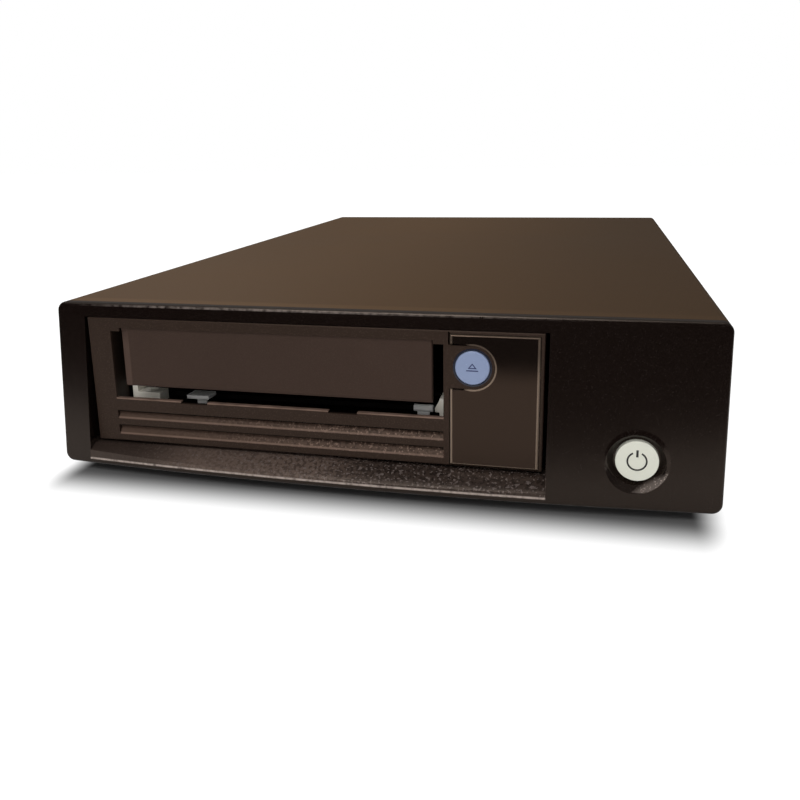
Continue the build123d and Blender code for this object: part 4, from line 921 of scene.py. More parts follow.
class Finishes:
    """The object's own surfaces: name, colour, roughness, specular level and its tint first."""

    COVER = SheetPaint("bronze_brown_paint", srgb(78, 58, 38), 0.55, 0.05, (1.0, 0.70, 0.40))
    BEZEL = CaseFront("case_front_plastic", srgb(17, 10, 8), 0.24, 0.42, (1.0, 0.80, 0.66),
                      0.00045, 0.08)
    DRIVE = DriveFace("drive_front_plastic", srgb(47, 36, 30), 0.42, 0.18, (1.0, 0.78, 0.64), 0.00045, 0.15)
    DOOR = DoorFace("door_plastic", srgb(62, 49, 43), 0.45, 0.08, (1.0, 0.78, 0.64), 0.0003, 0.10, 0.20)
    LENS = SmokedLens("smoked_lens", srgb(18, 13, 11), 0.10, 0.5, (1.0, 0.66, 0.48), 0.0)
    POWER = GlossPlastic("power_cap_plastic", srgb(226, 226, 212), 0.32, 0.4, coat=0.2)
    EJECT = GlossPlastic("eject_plastic", srgb(137, 151, 183), 0.35, 0.4, coat=0.2)
    COLLAR = GlossPlastic("collar_plastic", srgb(20, 24, 42), 0.25, 0.5, coat=0.3)
    MARK = Finish("mark_ink", srgb(46, 44, 42), 0.5, 0.3)
    BLUE_MARK = Finish("eject_mark_ink", srgb(44, 50, 88), 0.5, 0.3)
    WHITE = MouldedPlastic("white_guide_plastic", srgb(250, 244, 230), 0.5, 0.35,
                           grain_size=0.0004, depth=0.1, sparkle=0.0)
    BLACK = MouldedPlastic("black_plastic", srgb(26, 26, 27), 0.5, 0.3)
    RUBBER = MouldedPlastic("foot_rubber", srgb(24, 24, 24), 0.85, 0.2,
                            grain_size=0.0005, depth=0.3, sparkle=0.2)
    GOLD = Metal("contact_gold", srgb(214, 178, 96), 0.25, lines=(4.0, 40.0, 4.0))
    ZINC = Metal("zinc_plate", srgb(176, 176, 172), 0.38, lines=(1.0, 30.0, 30.0))
    # Near-black tray and drive base: painted shade for the drive's inside, seen through the slot.
    TRAY = Finish("tray_painted_shade_black", srgb(20, 18, 17), 0.75, 0.10)
    CAST = Metal("cast_aluminium", srgb(150, 150, 148), 0.55, lines=(6.0, 6.0, 6.0))
    STEEL = Metal("ground_steel", srgb(190, 190, 188), 0.18, lines=(30.0, 30.0, 2.0))
    SCREW = Metal("screw_zinc", srgb(120, 118, 112), 0.35)
    WIRE = Metal("spring_wire", srgb(120, 120, 122), 0.30)
    CAN = Metal("motor_can", srgb(150, 152, 150), 0.30, lines=(2.0, 2.0, 30.0))
    BRASS = Metal("pinion_brass", srgb(190, 150, 80), 0.30)
    BOARD = Circuit("board_green", srgb(14, 60, 28), 0.40, 0.4)
    FERRITE = Finish("ferrite_and_tape", srgb(150, 120, 40), 0.5, 0.3)
    SLEEVE = GlossPlastic("capacitor_sleeve", srgb(22, 26, 44), 0.3, 0.4)
    LAMP = GlossPlastic("lamp_green", srgb(80, 150, 90), 0.2, 0.5)
    LEAD = Finish("lead_rubber", srgb(26, 26, 27), 0.6, 0.3)
    # Near-black slider: painted shade for the part seen in the slot under the door.
    PAINTED_SHADE_SLIDER = MouldedPlastic("slider_painted_shade_black", srgb(26, 24, 22), 0.5, 0.2)
    TIN = Finish("bright_tin", srgb(250, 247, 240), 0.30, 0.5)
    FLAT_CABLE = Finish("flat_cable_grey", srgb(130, 130, 132), 0.6, 0.3)
    ACETAL = MouldedPlastic("acetal", srgb(214, 210, 194), 0.45, 0.35,
                            grain_size=0.0004, depth=0.1, sparkle=0.0)


def make_piece(name: str, work: bmesh.types.BMesh) -> bpy.types.Object:
    """Turns finished mesh work into a piece with its normals outward.

    Args:
        name: The piece's name.
        work: The mesh, which is freed.

    Returns:
        The piece, at the origin.
    """
    bmesh.ops.recalc_face_normals(work, faces=work.faces)
    mesh = bpy.data.meshes.new(name)
    work.to_mesh(mesh)
    work.free()
    return link_object(name, mesh)


def add_prism(work: bmesh.types.BMesh, outline: Sequence[tuple[float, float]], low: float, high: float,
              axis: int) -> list[bmesh.types.BMFace]:
    """Adds a closed prism along one axis; sizes are in millimetres.

    Args:
        work: The mesh to add to.
        outline: Corners on the two other axes, in their order.
        low: Where it starts along the axis.
        high: Where it ends.
        axis: 0, 1 or 2.

    Returns:
        The faces at the low end and at the high end.
    """
    def corner(first: float, second: float, level: float) -> Vector:
        """One corner in metres.

        Args:
            first: The first of the other axes.
            second: The second.
            level: The place along the axis.

        Returns:
            The corner.
        """
        place = [first, second]
        place.insert(axis, level)
        return Vector(place) * MM
    rings = [[work.verts.new(corner(a, b, level)) for a, b in outline] for level in (low, high)]
    count = len(outline)
    for i in range(count):
        j = (i + 1) % count
        work.faces.new((rings[0][i], rings[0][j], rings[1][j], rings[1][i]))
    return [work.faces.new(reversed(rings[0])), work.faces.new(rings[1])]


def add_bar(work: bmesh.types.BMesh, centre: tuple[float, float], half: tuple[float, float], low: float,
            high: float) -> list[bmesh.types.BMFace]:
    """Adds a rectangular bar along Y; sizes are in millimetres.

    Args:
        work: The mesh to add to.
        centre: The bar's middle, as X and Z.
        half: Half its width and half its height.
        low: Where it starts along Y.
        high: Where it ends.

    Returns:
        The faces at the low end and at the high end.
    """
    (x, z), (wide, tall) = centre, half
    corners = [(x - wide, z - tall), (x + wide, z - tall), (x + wide, z + tall), (x - wide, z + tall)]
    return add_prism(work, corners, low, high, 1)


def round_edges(work: bmesh.types.BMesh, face: bmesh.types.BMFace, width: float, segments: int) -> None:
    """Rounds the edges of one face; the width is in millimetres."""
    bmesh.ops.bevel(work, geom=list(face.edges), offset=width * MM, segments=segments, profile=0.5,
                    affect="EDGES", clamp_overlap=True)


def arc(centre: tuple[float, float], radius: float, start: float, end: float,
        steps: int) -> list[tuple[float, float]]:
    """Points on an arc.

    Args:
        centre: The arc's centre.
        radius: Its radius.
        start: The first angle, in degrees.
        end: The last angle.
        steps: How many pieces it is cut into.

    Returns:
        The points, ends included.
    """
    angles = [math.radians(start + (end - start) * i / steps) for i in range(steps + 1)]
    return [(centre[0] + radius * math.cos(a), centre[1] + radius * math.sin(a)) for a in angles]


def add_lathe(work: bmesh.types.BMesh, centre: tuple[float, float], profile: Sequence[tuple[float, float]],
              steps: int = 48) -> None:
    """Adds a solid turned about an axis along Y; sizes are in millimetres.

    Args:
        work: The mesh to add to.
        centre: The axis, as X and Z.
        profile: Pairs of radius and Y that start and end on the axis.
        steps: How many steps a full turn has.
    """
    rings = []
    for radius, level in profile:
        if radius == 0.0:
            rings.append([work.verts.new(Vector((centre[0], level, centre[1])) * MM)] * steps)
            continue
        ring = arc(centre, radius, 0.0, 360.0, steps)[:steps]
        rings.append([work.verts.new(Vector((x, level, z)) * MM) for x, z in ring])
    for first, second in zip(rings, rings[1:]):
        for i in range(steps):
            j = (i + 1) % steps
            corners = dict.fromkeys((first[i], first[j], second[j], second[i]))
            if len(corners) > 2:
                work.faces.new(corners)


def carve(piece: bpy.types.Object, work: bmesh.types.BMesh) -> None:
    """Cuts a shape out of a piece.

    Args:
        piece: The piece to cut.
        work: The cutter, which is used up.
    """
    cutter = make_piece("cutter", work)
    cut = piece.modifiers.new("cut", "BOOLEAN")
    cut.operation = "DIFFERENCE"
    cut.solver = "EXACT"
    cut.object = cutter
    bake_modifiers(piece)
    mesh = cutter.data
    bpy.data.objects.remove(cutter)
    bpy.data.meshes.remove(mesh)


@dataclass(frozen=True)
class Dressed:
    """A CAD node that a rounded copy of itself replaces; the rounding is in metres."""

    node: str
    body: str
    slot: str
    finish: Finish
    rounding: float

    def build(self) -> None:
        """Makes the copy, rounds it and finishes it."""
        piece = copy_of_node(self.node, self.node + "_shell")
        soften(piece, self.rounding)
        smooth(piece)
        finish_piece(piece, self.finish, self.body, (self.node,))


class Facing(Enum):
    """Which way a part that is drawn along +Z is turned, as angles about X, Y and Z."""

    UP = (0.0, 0.0, 0.0)
    BACK = (-math.pi / 2, 0.0, 0.0)
    FRONT = (math.pi / 2, 0.0, 0.0)
    LEFT = (0.0, -math.pi / 2, 0.0)
    RIGHT = (0.0, math.pi / 2, 0.0)


class Growth:
    """A Geometry Nodes tree with named inputs, grown on points and settled to plain mesh."""

    KINDS = {int: "NodeSocketInt", float: "NodeSocketFloat", tuple: "NodeSocketVector",
             bpy.types.Material: "NodeSocketMaterial"}

    def __init__(self, name: str, finish: Finish, facing: Facing, values: dict[str, Any]) -> None:
        """Makes the tree's inputs.

        Args:
            name: The tree's name.
            finish: The surface of what grows.
            facing: Which way each copy is turned.
            values: The other named inputs and their values; whole numbers, lengths or vectors.
        """
        self.tree = bpy.data.node_groups.new(name, "GeometryNodeTree")
        self.graph = Graph(self.tree)
        self.values = {**values, "Facing": facing.value, "Seed": 7, "Material": finish.material()}
        face = self.tree.interface
        face.new_socket(name="Points", in_out="INPUT", socket_type="NodeSocketGeometry")
        face.new_socket(name="Geometry", in_out="OUTPUT", socket_type="NodeSocketGeometry")
        self.keys = {}
        for key, value in self.values.items():
            socket = face.new_socket(name=key, in_out="INPUT", socket_type=self.KINDS[type(value)])
            self.keys[key] = socket.identifier
        self.start = self.tree.nodes.new("NodeGroupInput")

    def __getitem__(self, key: str) -> Link:
        """One named input."""
        return Link(self.graph, self.start.outputs[key])

    def vector(self, x: Any = 0.0, y: Any = 0.0, z: Any = 0.0) -> Link:
        """A vector of three numbers or links."""
        return self.graph.add("ShaderNodeCombineXYZ", None, {0: x, 1: y, 2: z})

    def join(self, *parts: Link) -> Link:
        """Several geometries as one.

        Args:
            parts: The geometries.

        Returns:
            The joined geometry.
        """
        node = self.tree.nodes.new("GeometryNodeJoinGeometry")
        for part in parts:
            self.tree.links.new(part.socket, node.inputs[0])
        return Link(self.graph, node.outputs[0])

    def moved(self, geometry: Link, **how: Any) -> Link:
        """A geometry moved by Translation, turned by Rotation or scaled by Scale."""
        return self.graph.add("GeometryNodeTransform", None, {"Geometry": geometry, **how})

    def copies(self, points: Link, part: Link, **how: Any) -> Link:
        """A copy of a part on each point."""
        return self.graph.add("GeometryNodeInstanceOnPoints", None,
                              {"Points": points, "Instance": part, **how})

    def turned(self, spin: Link | float) -> Link:
        """The Facing rotation, after a spin about the part's own axis.

        Args:
            spin: The spin, in radians.

        Returns:
            The rotation.
        """
        add = self.graph.add
        face = add("FunctionNodeEulerToRotation", None, {0: self["Facing"]})
        own = add("FunctionNodeEulerToRotation", None, {0: self.vector(z=spin)})
        return add("FunctionNodeRotateRotation", {"rotation_space": "LOCAL"}, {0: face, 1: own})

    def random(self, low: float, high: float) -> Link:
        """A random number for each point, from the Seed input."""
        return self.graph.add("FunctionNodeRandomValue", {"data_type": "FLOAT"},
                              {2: low, 3: high, "Seed": self["Seed"]}, output=1)

    def grow(self, name: str, geometry: Link, points: Sequence[Point],
             angle: float = 35.0) -> bpy.types.Object:
        """Grows the geometry on points and settles it to plain mesh.

        Args:
            name: The piece's name.
            geometry: What the tree gives out.
            points: The points, in millimetres.
            angle: The largest turn that is shaded smooth, in degrees.

        Returns:
            The piece.
        """
        whole = self.graph.add("GeometryNodeRealizeInstances", None, {"Geometry": geometry})
        painted = self.graph.add("GeometryNodeSetMaterial", None,
                                 {"Geometry": whole, "Material": self["Material"]})
        end = self.tree.nodes.new("NodeGroupOutput")
        self.tree.links.new(painted.socket, end.inputs["Geometry"])
        mesh = bpy.data.meshes.new(name)
        mesh.from_pydata([Vector(point) * MM for point in points], [], [])
        piece = link_object(name, mesh)
        modifier = piece.modifiers.new("growth", "NODES")
        modifier.node_group = self.tree
        for key, identifier in self.keys.items():
            modifier[identifier] = self.values[key]
        bake_modifiers(piece)
        smooth(piece, angle)
        return piece


@dataclass(frozen=True)
class ScrewSet:
    """Cross-recessed screws that replace one CAD node; sizes are in millimetres.

    The dome's top and the recess are shares of the head's radius, the recess's depth one of
    its height.
    """

    node: str
    facing: Facing
    points: tuple[Point, ...]
    head: tuple[float, float] = (2.8, 1.3)
    shank: tuple[float, float] = (1.5, 1.0)
    dome_top: float = 0.72
    recess_span: float = 1.15
    recess_width: float = 0.24
    recess_depth: float = 0.6

    def build(self, replaced: Sequence[str] = ()) -> None:
        """Grows the screws, each turned at random.

        Args:
            replaced: The CAD nodes that they replace.
        """
        radius, height = self.head
        growth = Growth(self.node + "_tree", Finishes.SCREW, self.facing, {
            "Head Radius": radius * MM, "Head Height": height * MM, "Shank Radius": self.shank[0] * MM,
            "Shank Length": self.shank[1] * MM, "Recess Width": self.recess_width * radius * MM})
        add = growth.graph.add
        shank = add("GeometryNodeMeshCylinder", None,
                    {"Vertices": 20, "Radius": growth["Shank Radius"], "Depth": growth["Shank Length"]})
        shank = growth.moved(shank, Translation=growth.vector(z=0.0 - growth["Shank Length"] * 0.5))
        spin = growth.turned(growth.random(0.0, math.pi))
        whole = growth.join(self._head(growth), shank)
        screws = growth.copies(growth["Points"], whole, Rotation=spin)
        piece = growth.grow(self.node + "_set", screws, self.points)
        finish_piece(piece, Finishes.SCREW, "chassis", replaced)

    def _head(self, growth: Growth) -> Link:
        """The domed head with its cross cut in.

        Args:
            growth: The tree that the head belongs to.

        Returns:
            The head, on the XY plane.
        """
        def solid(operation: str, inputs: dict[int | str, Any]) -> Link:
            """An exact boolean."""
            return add("GeometryNodeMeshBoolean", {"operation": operation, "solver": "EXACT"}, inputs)
        add = growth.graph.add
        tall = growth["Head Height"]
        wide = growth["Head Radius"]
        low = add("GeometryNodeMeshCylinder", None, {"Vertices": 32, "Radius": wide, "Depth": tall * 0.5})
        dome = add("GeometryNodeMeshCone", None,
                   {"Vertices": 32, "Radius Top": wide * self.dome_top, "Radius Bottom": wide,
                    "Depth": tall * 0.5})
        stack = growth.join(growth.moved(low, Translation=growth.vector(z=tall * 0.25)),
                            growth.moved(dome, Translation=growth.vector(z=tall * 0.5)))
        head = solid("UNION", {1: stack, "Self Intersection": True})
        size = growth.vector(wide * self.recess_span, growth["Recess Width"], tall * (2 * self.recess_depth))
        slot = add("GeometryNodeMeshCube", None, {"Size": size})
        pair = growth.join(slot, growth.moved(slot, Rotation=(0.0, 0.0, math.pi / 2)))
        cross = solid("UNION", {1: pair, "Self Intersection": True})
        return solid("DIFFERENCE", {0: head, 1: growth.moved(cross, Translation=growth.vector(z=tall))})


@dataclass
class CaseShell:
    """The enclosure: front moulding, painted cover and tray, and feet; roundings are in metres."""

    moulded: float = 0.0003
    folded: float = 0.0003
    tray: float = 0.0002
    foot: float = 0.0006

    def build(self) -> None:
        """Builds and dresses the enclosure's pieces."""
        for node, slot, finish, rounding in (
                ("front_bezel", "bezel_plastic", Finishes.BEZEL, self.moulded),
                ("top_cover", "cover_paint", Finishes.COVER, self.folded),
                ("chassis_tray", "cover_paint", Finishes.COVER, self.tray),
                ("feet", "rubber_foot", Finishes.RUBBER, self.foot)):
            Dressed(node, "chassis", slot, finish, rounding).build()


@dataclass
class DriveFront:
    """The drive's bezel, door, lens and button; sizes are in millimetres."""

    lens_x: tuple[float, float] = (27.5, 54.4)
    lens_z: tuple[float, float] = (10.8, 52.1)
    lens_y: tuple[float, float] = (-158.0, -156.0)
    lens_round: float = 0.75
    eject: tuple[float, float] = (34.4, 42.0)
    notch: float = 6.8
    door_left: float = -83.1
    door_front: float = -157.2
    door_z: tuple[float, float] = (30.1, 49.0)
    band: tuple[float, float] = (2.6, 0.8)
    door_round: float = 0.2
    ink: tuple[float, float] = (-158.33, -158.15)
    bar_down: float = 0.84
    bar: tuple[float, float] = (1.8, 0.16)
    triangle: tuple[float, float, float] = (1.35, -0.2, 1.5)
    stroke: float = 0.28
    stroke_ends: tuple[float, float] = (2.1, 1.7)

    def build(self) -> None:
        """Builds and dresses the drive's front."""
        for node, body, slot, finish, rounding in (
                ("drive_bezel", "chassis", "drive_plastic", Finishes.DRIVE, 0.0002),
                ("eject_button", "eject_button", "eject_plastic", Finishes.EJECT, 0.0002),
                ("eject_collar", "chassis", "collar_plastic", Finishes.COLLAR, 0.0001),
                ("cartridge_guides", "chassis", "white_plastic", Finishes.WHITE, 0.0002),
                ("entry_fittings", "chassis", "steel_pin", Finishes.TIN, 0.00015)):
            Dressed(node, body, slot, finish, rounding).build()
        self._door()
        self._lens()
        self._eject_mark()

    def _door(self) -> None:
        """The flap, with the slanted band at its left end."""
        piece = copy_of_node("cartridge_door", "cartridge_door_shell")
        work = bmesh.new()
        left, front = self.door_left, self.door_front
        wide, deep = self.band
        over = 1.0
        corners = [(left - over, front + deep + over * deep / wide), (left + wide, front),
                   (left + wide, front - over), (left - over, front - over)]
        add_prism(work, corners, self.door_z[0] - over, self.door_z[1], 2)
        carve(piece, work)
        soften(piece, self.door_round * MM, angle=12.0)
        smooth(piece, 14.0)
        finish_piece(piece, Finishes.DOOR, "door", ("cartridge_door",))

    def _lens(self) -> None:
        """The lens, with its front edges rolled over."""
        work = bmesh.new()
        (x0, x1), (z0, z1) = self.lens_x, self.lens_z
        height = self.eject[1]
        outline = [(x0, z0), (x1, z0), (x1, z1), (x0, z1), (x0, height + self.notch)]
        outline += arc(self.eject, self.notch, 90, -90, 32) + [(x0, height - self.notch)]
        front, _ = add_prism(work, outline, *self.lens_y, 1)
        round_edges(work, front, self.lens_round, 5)
        piece = make_piece("status_lens_shell", work)
        smooth(piece, 40.0)
        finish_piece(piece, Finishes.LENS, "chassis", ("status_lens",))

    def _eject_mark(self) -> None:
        """The triangle over a bar printed on the eject button."""
        work = bmesh.new()
        x, z = self.eject
        add_bar(work, (x, z - self.bar_down), self.bar, *self.ink)
        half, low, high = self.triangle
        side, tip = (share * self.stroke for share in self.stroke_ends)
        outer = [(x - half, z + low), (x + half, z + low), (x, z + high)]
        inner = [(x - half + side, z + low + self.stroke), (x + half - side, z + low + self.stroke),
                 (x, z + high - tip)]
        for i, j in ((0, 1), (1, 2), (2, 0)):
            add_prism(work, [outer[i], outer[j], inner[j], inner[i]], *self.ink, 1)
        finish_piece(make_piece("eject_mark", work), Finishes.BLUE_MARK, "eject_button")


@dataclass
class Fasteners:
    """Every screw of the enclosure; places and sizes are in millimetres."""

    panel: float = 163.3
    cover_x: tuple[float, ...] = (-96.5, 0.0, 96.5)
    cover_z: float = 51.8
    fan: tuple[float, float] = (-45.0, 30.5)
    fan_half: float = 16.0
    inlet: Point = (80.0, 164.7, 30.0)
    inlet_half: float = 20.0
    supply: Point = (80.95, 35.0, 10.8)
    supply_half: tuple[float, float] = (16.0, 79.0)
    lid: tuple[float, float] = (-19.6, 52.45)
    lid_half: float = 65.0
    lid_y: tuple[float, ...] = (-137.8, -52.3, 37.2)
    bracket_faces: tuple[float, float] = (-94.2, 55.0)
    bracket_y: tuple[float, float] = (-119.8, -40.8)
    bracket_z: float = 21.15
    stub: tuple[float, float] = (0.5, 0.02)

    def build(self) -> None:
        """Builds all the sets."""
        ends = (-1, 1)
        x, z = self.fan
        cover = [(side, self.panel, self.cover_z) for side in self.cover_x]
        fan = [(x + i * self.fan_half, self.panel, z + j * self.fan_half) for i in ends for j in ends]
        x, y, z = self.inlet
        inlet = [(x + i * self.inlet_half, y, z) for i in ends]
        x, y, z = self.supply
        board = [(x + i * self.supply_half[0], y + j * self.supply_half[1], z) for i in ends for j in ends]
        x, z = self.lid
        lid = [(x + i * self.lid_half, y, z) for i in ends for y in self.lid_y]
        for node, facing, points, head, shank in (
                ("cover_screws", Facing.BACK, cover, (2.8, 1.3), (1.2, 1.2)),
                ("fan_screws", Facing.BACK, fan, (2.8, 1.3), (1.5, 8.0)),
                ("inlet_screws", Facing.BACK, inlet, (2.8, 1.3), (1.4, 1.4)),
                ("supply_screws", Facing.UP, board, (2.8, 1.3), (1.5, 1.6)),
                ("drive_cover_screws", Facing.UP, lid, (2.2, 0.9), self.stub)):
            ScrewSet(node, facing, tuple(points), head, shank).build((node,))
        left, right = self.bracket_faces
        for facing, face, replaced in ((Facing.LEFT, left, ("bracket_screws",)), (Facing.RIGHT, right, ())):
            name = "bracket_screws_" + facing.name.lower()
            points = tuple((face, y, self.bracket_z) for y in self.bracket_y)
            ScrewSet(name, facing, points, shank=self.stub).build(replaced)


@dataclass
class FanRotor:
    """The fan's cup hub and its cambered, twisted blades; sizes are in millimetres."""

    centre: Point = (-45.0, 156.4, 30.5)
    front: float = 152.7
    back: float = 160.1
    hub: float = 10.0
    hub_round: tuple[float, float] = (1.0, 0.3)
    wall: float = 1.2
    floor: float = 1.6
    boss: tuple[float, float] = (3.4, 0.4)
    bore: tuple[float, float] = (2.05, 1.0)
    tip: float = 17.7
    sunk: float = 0.6
    chord: float = 6.3
    thick: float = 0.8
    camber: float = 0.7
    blades: int = 7

    def build(self) -> None:
        """Builds the hub and grows the blades."""
        x, _, z = self.centre
        y0, y1, r = self.front, self.back, self.hub
        large, small = self.hub_round
        boss, short = self.boss
        bore, cap = self.bore
        profile = [(0.0, y0), (r - large, y0), (r - small, y0 + small), (r, y0 + large), (r, y1),
                   (r - self.wall, y1), (r - self.wall, y0 + self.floor), (boss, y0 + self.floor),
                   (boss, y1 - short), (bore, y1 - short), (bore, y0 + cap), (0.0, y0 + cap)]
        work = bmesh.new()
        add_lathe(work, (x, z), profile)
        piece = make_piece("fan_hub", work)
        smooth(piece)
        finish_piece(piece, Finishes.BLACK, "fan_rotor", ("fan_rotor",))
        finish_piece(self._blades(), Finishes.BLACK, "fan_rotor")

    def _blades(self) -> bpy.types.Object:
        """Grows the ring of blades.

        Returns:
            The blades, as one piece.
        """
        root = self.hub - self.sunk
        growth = Growth("blade_ring_tree", Finishes.BLACK, Facing.BACK, {
            "Blades": self.blades, "Span": (self.tip - root) * MM, "Middle": (self.tip + root) / 2 * MM,
            "Chord": self.chord * MM, "Thickness": self.thick * MM, "Camber": self.camber * MM,
            "Pitch": 0.55, "Twist": 45.0})
        add = growth.graph.add
        blade = add("GeometryNodeMeshCube", None,
                    {"Size": growth.vector(growth["Span"], growth["Thickness"], growth["Chord"]),
                     "Vertices X": 9, "Vertices Y": 2, "Vertices Z": 9})
        along, across, up = growth.graph.split(add("GeometryNodeInputPosition"))
        share = up * 2.0 / growth["Chord"]
        bent = growth.vector(along, across + growth["Camber"] * (0.5 - share * share), up)
        turned = add("ShaderNodeVectorRotate", {"rotation_type": "X_AXIS"},
                     {"Vector": bent, "Angle": growth["Pitch"] + growth["Twist"] * along})
        blade = add("GeometryNodeSetPosition", None, {"Geometry": blade, "Position": turned})
        blade = growth.moved(blade, Translation=growth.vector(growth["Middle"]))
        ring = add("GeometryNodeMeshLine", {"mode": "OFFSET"},
                   {"Count": growth["Blades"], "Offset": (0.0, 0.0, 0.0)})
        place = growth.vector(z=2 * math.pi / growth["Blades"] * add("GeometryNodeInputIndex"))
        wheel = growth.copies(ring, blade, Rotation=add("FunctionNodeEulerToRotation", None, {0: place}))
        whole = growth.copies(growth["Points"], wheel, Rotation=growth.turned(0.0))
        return growth.grow("fan_blades", whole, (self.centre,), 50.0)


@dataclass
class RearConnectors:
    """Mains inlet and data ports with their metal contacts; sizes are in millimetres."""

    inlet: tuple[float, float] = (80.0, 30.0)
    blade_places: tuple[tuple[float, float], ...] = ((-7.0, -2.0), (7.0, -2.0), (0.0, 2.0))
    blade: tuple[float, float] = (1.05, 2.05)
    blade_y: tuple[float, float] = (148.35, 158.4)
    blade_round: float = 0.5
    ports: tuple[float, float] = (6.0, 32.0)
    port_z: float = 30.0
    tongue: tuple[float, float] = (5.8, 0.5)
    tongue_y: tuple[float, float] = (151.0, 161.5)
    contacts: int = 13
    contact_y: float = 156.6
    contact_out: float = 0.52

    def build(self) -> None:
        """Builds and dresses the rear connectors."""
        for node, slot, finish, rounding in (
                ("mains_inlet", "black_plastic", Finishes.BLACK, 0.0003),
                ("data_ports", "zinc_steel", Finishes.CAN, 0.0001),
                ("fan_frame", "black_plastic", Finishes.BLACK, 0.0003)):
            Dressed(node, "chassis", slot, finish, rounding).build()
        work = bmesh.new()
        x, z = self.inlet
        for dx, dz in self.blade_places:
            _, tip = add_bar(work, (x + dx, z + dz), self.blade, *self.blade_y)
            round_edges(work, tip, self.blade_round, 3)
        piece = make_piece("inlet_blades", work)
        smooth(piece)
        finish_piece(piece, Finishes.STEEL, "chassis")
        work = bmesh.new()
        for x in self.ports:
            add_bar(work, (x, self.port_z), self.tongue, *self.tongue_y)
        finish_piece(make_piece("port_tongues", work), Finishes.BLACK, "chassis")
        self._contacts()

    def _contacts(self) -> None:
        """Grows the two rows of contacts on each port's tongue."""
        growth = Growth("contact_rows_tree", Finishes.GOLD, Facing.UP, {
            "Contacts": self.contacts, "Pitch": 0.8 * MM, "Width": 0.45 * MM, "Length": 8.6 * MM,
            "Height": 0.12 * MM})
        add = growth.graph.add
        pad = add("GeometryNodeMeshCube", None,
                  {"Size": growth.vector(growth["Width"], growth["Length"], growth["Height"])})
        first = growth.vector(growth["Pitch"] * (growth["Contacts"] - 1.0) * -0.5)
        row = add("GeometryNodeMeshLine", {"mode": "OFFSET"},
                  {"Count": growth["Contacts"], "Start Location": first,
                   "Offset": growth.vector(growth["Pitch"])})
        rows = growth.copies(growth["Points"], growth.copies(row, pad), Rotation=growth.turned(0.0))
        points = [(x, self.contact_y, self.port_z + side * self.contact_out)
                  for x in self.ports for side in (-1, 1)]
        finish_piece(growth.grow("port_contacts", rows, points), Finishes.GOLD, "chassis")


@dataclass(frozen=True)
class Coils:
    """Coil springs that replace one CAD node; sizes are in millimetres."""

    node: str
    facing: Facing
    points: tuple[Point, ...]
    radius: float
    wire: float
    length: float
    turns: float
    joint: str = ""
    keep: float = 0.5

    def build(self) -> None:
        """Grows the springs; one with a joint gets a mesh of its own."""
        growth = Growth(self.node + "_tree", Finishes.WIRE, self.facing, {
            "Turns": self.turns, "Radius": self.radius * MM, "Wire": self.wire * MM,
            "Length": self.length * MM})
        add = growth.graph.add
        path = add("GeometryNodeCurveSpiral", None, {
            "Resolution": 20, "Rotations": growth["Turns"], "Start Radius": growth["Radius"],
            "End Radius": growth["Radius"], "Height": growth["Length"]})
        section = add("GeometryNodeCurvePrimitiveCircle", None, {"Resolution": 8, "Radius": growth["Wire"]})
        coil = add("GeometryNodeCurveToMesh", None,
                   {"Curve": path, "Profile Curve": section, "Fill Caps": True})
        springs = growth.copies(growth["Points"], coil, Rotation=growth.turned(0.0))
        piece = growth.grow(self.node + "_coils", springs, self.points, 60.0)
        finish_piece(piece, Finishes.WIRE, "chassis", (self.node,))
        if self.joint:
            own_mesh(piece)


@dataclass
class Springs:
    """The door's two torsion coils and the two buttons' return springs; in millimetres."""

    door_ends: tuple[float, float] = (-78.25, 12.95)
    hinge: tuple[float, float] = (-155.5, 50.2)
    eject: Point = (34.4, -151.95, 42.0)
    power: Point = (82.5, -152.3, 17.4)

    def build(self) -> None:
        """Builds the three sets."""
        door = tuple((x, *self.hinge) for x in self.door_ends)
        Coils("door_springs", Facing.RIGHT, door, radius=1.14, wire=0.24, length=4.3, turns=8.0).build()
        Coils("eject_spring", Facing.BACK, (self.eject,), radius=2.2, wire=0.24, length=3.5, turns=4.0,
              joint="eject_press").build()
        Coils("power_button_spring", Facing.BACK, (self.power,), radius=3.2, wire=0.32, length=5.5,
              turns=4.5, joint="power_press").build()


@dataclass
class BoardParts:
    """Small parts soldered to the two boards; sizes are in millimetres."""

    front: Point = (38.5, -145.8, 34.5)
    front_size: Point = (19.0, 29.0, 1.1)
    supply: Point = (80.95, 100.0, 10.8)
    supply_size: Point = (30.0, 24.0, 2.2)
    spacing: float = 3.2
    chip_length: tuple[float, float] = (0.8, 2.4)
    chip_width: float = 1.1

    def build(self) -> None:
        """Grows one field of parts on each board."""
        short, long = (length * MM for length in self.chip_length)
        for name, facing, centre, size in (
                ("front_board_parts", Facing.FRONT, self.front, self.front_size),
                ("supply_board_parts", Facing.UP, self.supply, self.supply_size)):
            growth = Growth(name + "_tree", Finishes.BLACK, facing, {
                "Length": size[0] * MM, "Width": size[1] * MM, "Spacing": self.spacing * MM,
                "Height": size[2] * MM})
            add = growth.graph.add
            sheet = add("GeometryNodeMeshGrid", None, {"Size X": growth["Length"], "Size Y": growth["Width"],
                                                       "Vertices X": 2, "Vertices Y": 2})
            spots = add("GeometryNodeDistributePointsOnFaces", {"distribute_method": "POISSON"},
                        {"Mesh": sheet, "Distance Min": growth["Spacing"], "Density Max": 400000.0,
                         "Seed": growth["Seed"]})
            chip = add("GeometryNodeMeshCube", None, {"Size": (1.0, 1.0, 1.0)})
            chip = growth.moved(chip, Translation=(0.0, 0.0, 0.5))
            length = growth.random(short, long)
            scale = growth.vector(length, self.chip_width * MM, growth["Height"] * growth.random(0.4, 1.0))
            field = growth.copies(spots, chip, Scale=scale)
            whole = growth.copies(growth["Points"], field, Rotation=growth.turned(0.0))
            finish_piece(growth.grow(name, whole, (centre,)), Finishes.BLACK, "chassis")


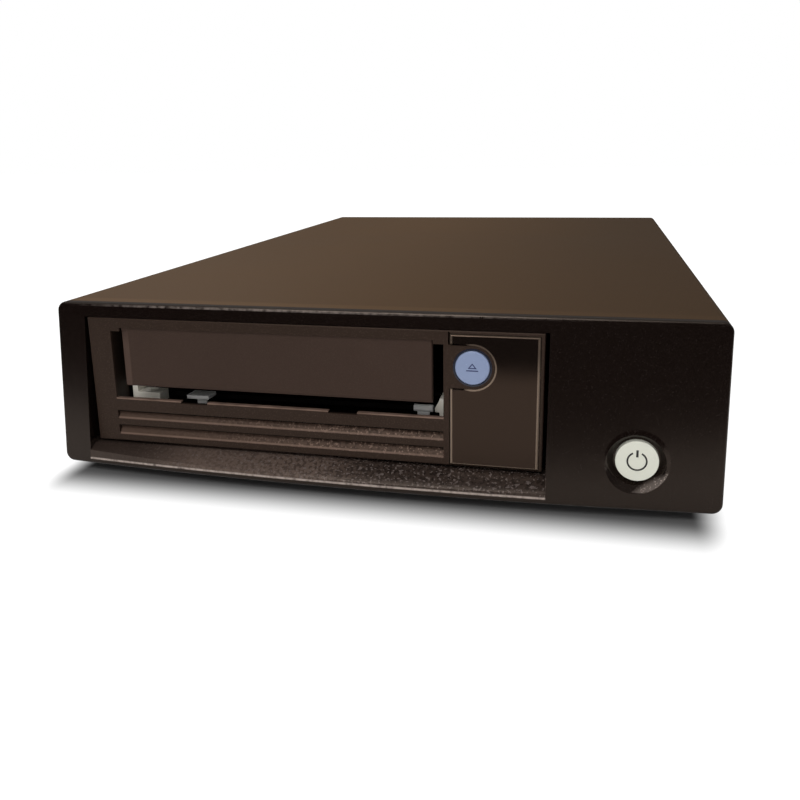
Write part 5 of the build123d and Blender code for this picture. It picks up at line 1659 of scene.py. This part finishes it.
@dataclass
class PowerButton:
    """The power cap and the symbol printed on it; sizes are in millimetres."""

    centre: tuple[float, float] = (82.5, 17.4)
    ink: tuple[float, float] = (-161.23, -161.05)
    ring: tuple[float, float] = (2.42, 2.92)
    gap: float = 27.0
    bar_up: float = 2.325
    bar: tuple[float, float] = (0.33, 1.075)

    def build(self) -> None:
        """Builds and dresses the cap and its mark."""
        Dressed("power_button", "power_button", "button_plastic", Finishes.POWER, 0.0003).build()
        work = bmesh.new()
        inner, outer = self.ring
        ends = (90 + self.gap, 450 - self.gap)
        outline = arc(self.centre, outer, *ends, 48) + arc(self.centre, inner, *reversed(ends), 48)
        add_prism(work, outline, *self.ink, 1)
        x, z = self.centre
        add_bar(work, (x, z + self.bar_up), self.bar, *self.ink)
        finish_piece(make_piece("power_mark", work), Finishes.MARK, "power_button")


def dress_plain_nodes() -> None:
    """Gives each remaining CAD node its material."""
    plan: dict[Finish, tuple[str, ...]] = {
        Finishes.BLACK: ("power_switch", "eject_switch", "drive_connectors"),
        Finishes.BOARD: ("supply_board", "front_board", "main_board"),
        Finishes.FERRITE: ("supply_transformer",),
        Finishes.SLEEVE: ("supply_capacitors",),
        Finishes.CAST: ("supply_heat_sinks", "take_up_reel", "head_actuator", "threading_arm"),
        Finishes.TRAY: ("drive_base", "cartridge_tray"),
        Finishes.CAN: ("loader_motor", "reel_motor", "take_up_motor"),
        Finishes.ZINC: ("drive_brackets", "drive_cover"),
        Finishes.STEEL: ("door_pin", "loader_shaft", "roller_posts", "head_block", "arm_post",
                         "guide_roller_1", "guide_roller_2", "guide_roller_3", "guide_roller_4"),
        Finishes.BRASS: ("motor_pinion",),
        Finishes.WHITE: ("reel_hub",),
        Finishes.ACETAL: ("loader_gear",),
        Finishes.PAINTED_SHADE_SLIDER: ("loader_slider",),
        Finishes.FLAT_CABLE: ("data_cable",),
        Finishes.LEAD: ("power_leads",),
        Finishes.LAMP: ("status_lamps",),
    }
    for finish, nodes in plan.items():
        for node in nodes:
            for slot in node_object(node).material_slots:
                slot.material = finish.material()


def main() -> None:
    """Builds the scene piece by piece."""
    logging.basicConfig(level=logging.INFO, format="%(message)s", stream=sys.stdout)
    bpy.context.scene.view_settings.view_transform = "Standard"
    View().build()
    Studio().build()
    CaseShell().build()
    DriveFront().build()
    PowerButton().build()
    RearConnectors().build()
    FanRotor().build()
    Fasteners().build()
    Springs().build()
    BoardParts().build()
    dress_plain_nodes()


if __name__ == "__main__":
    main()
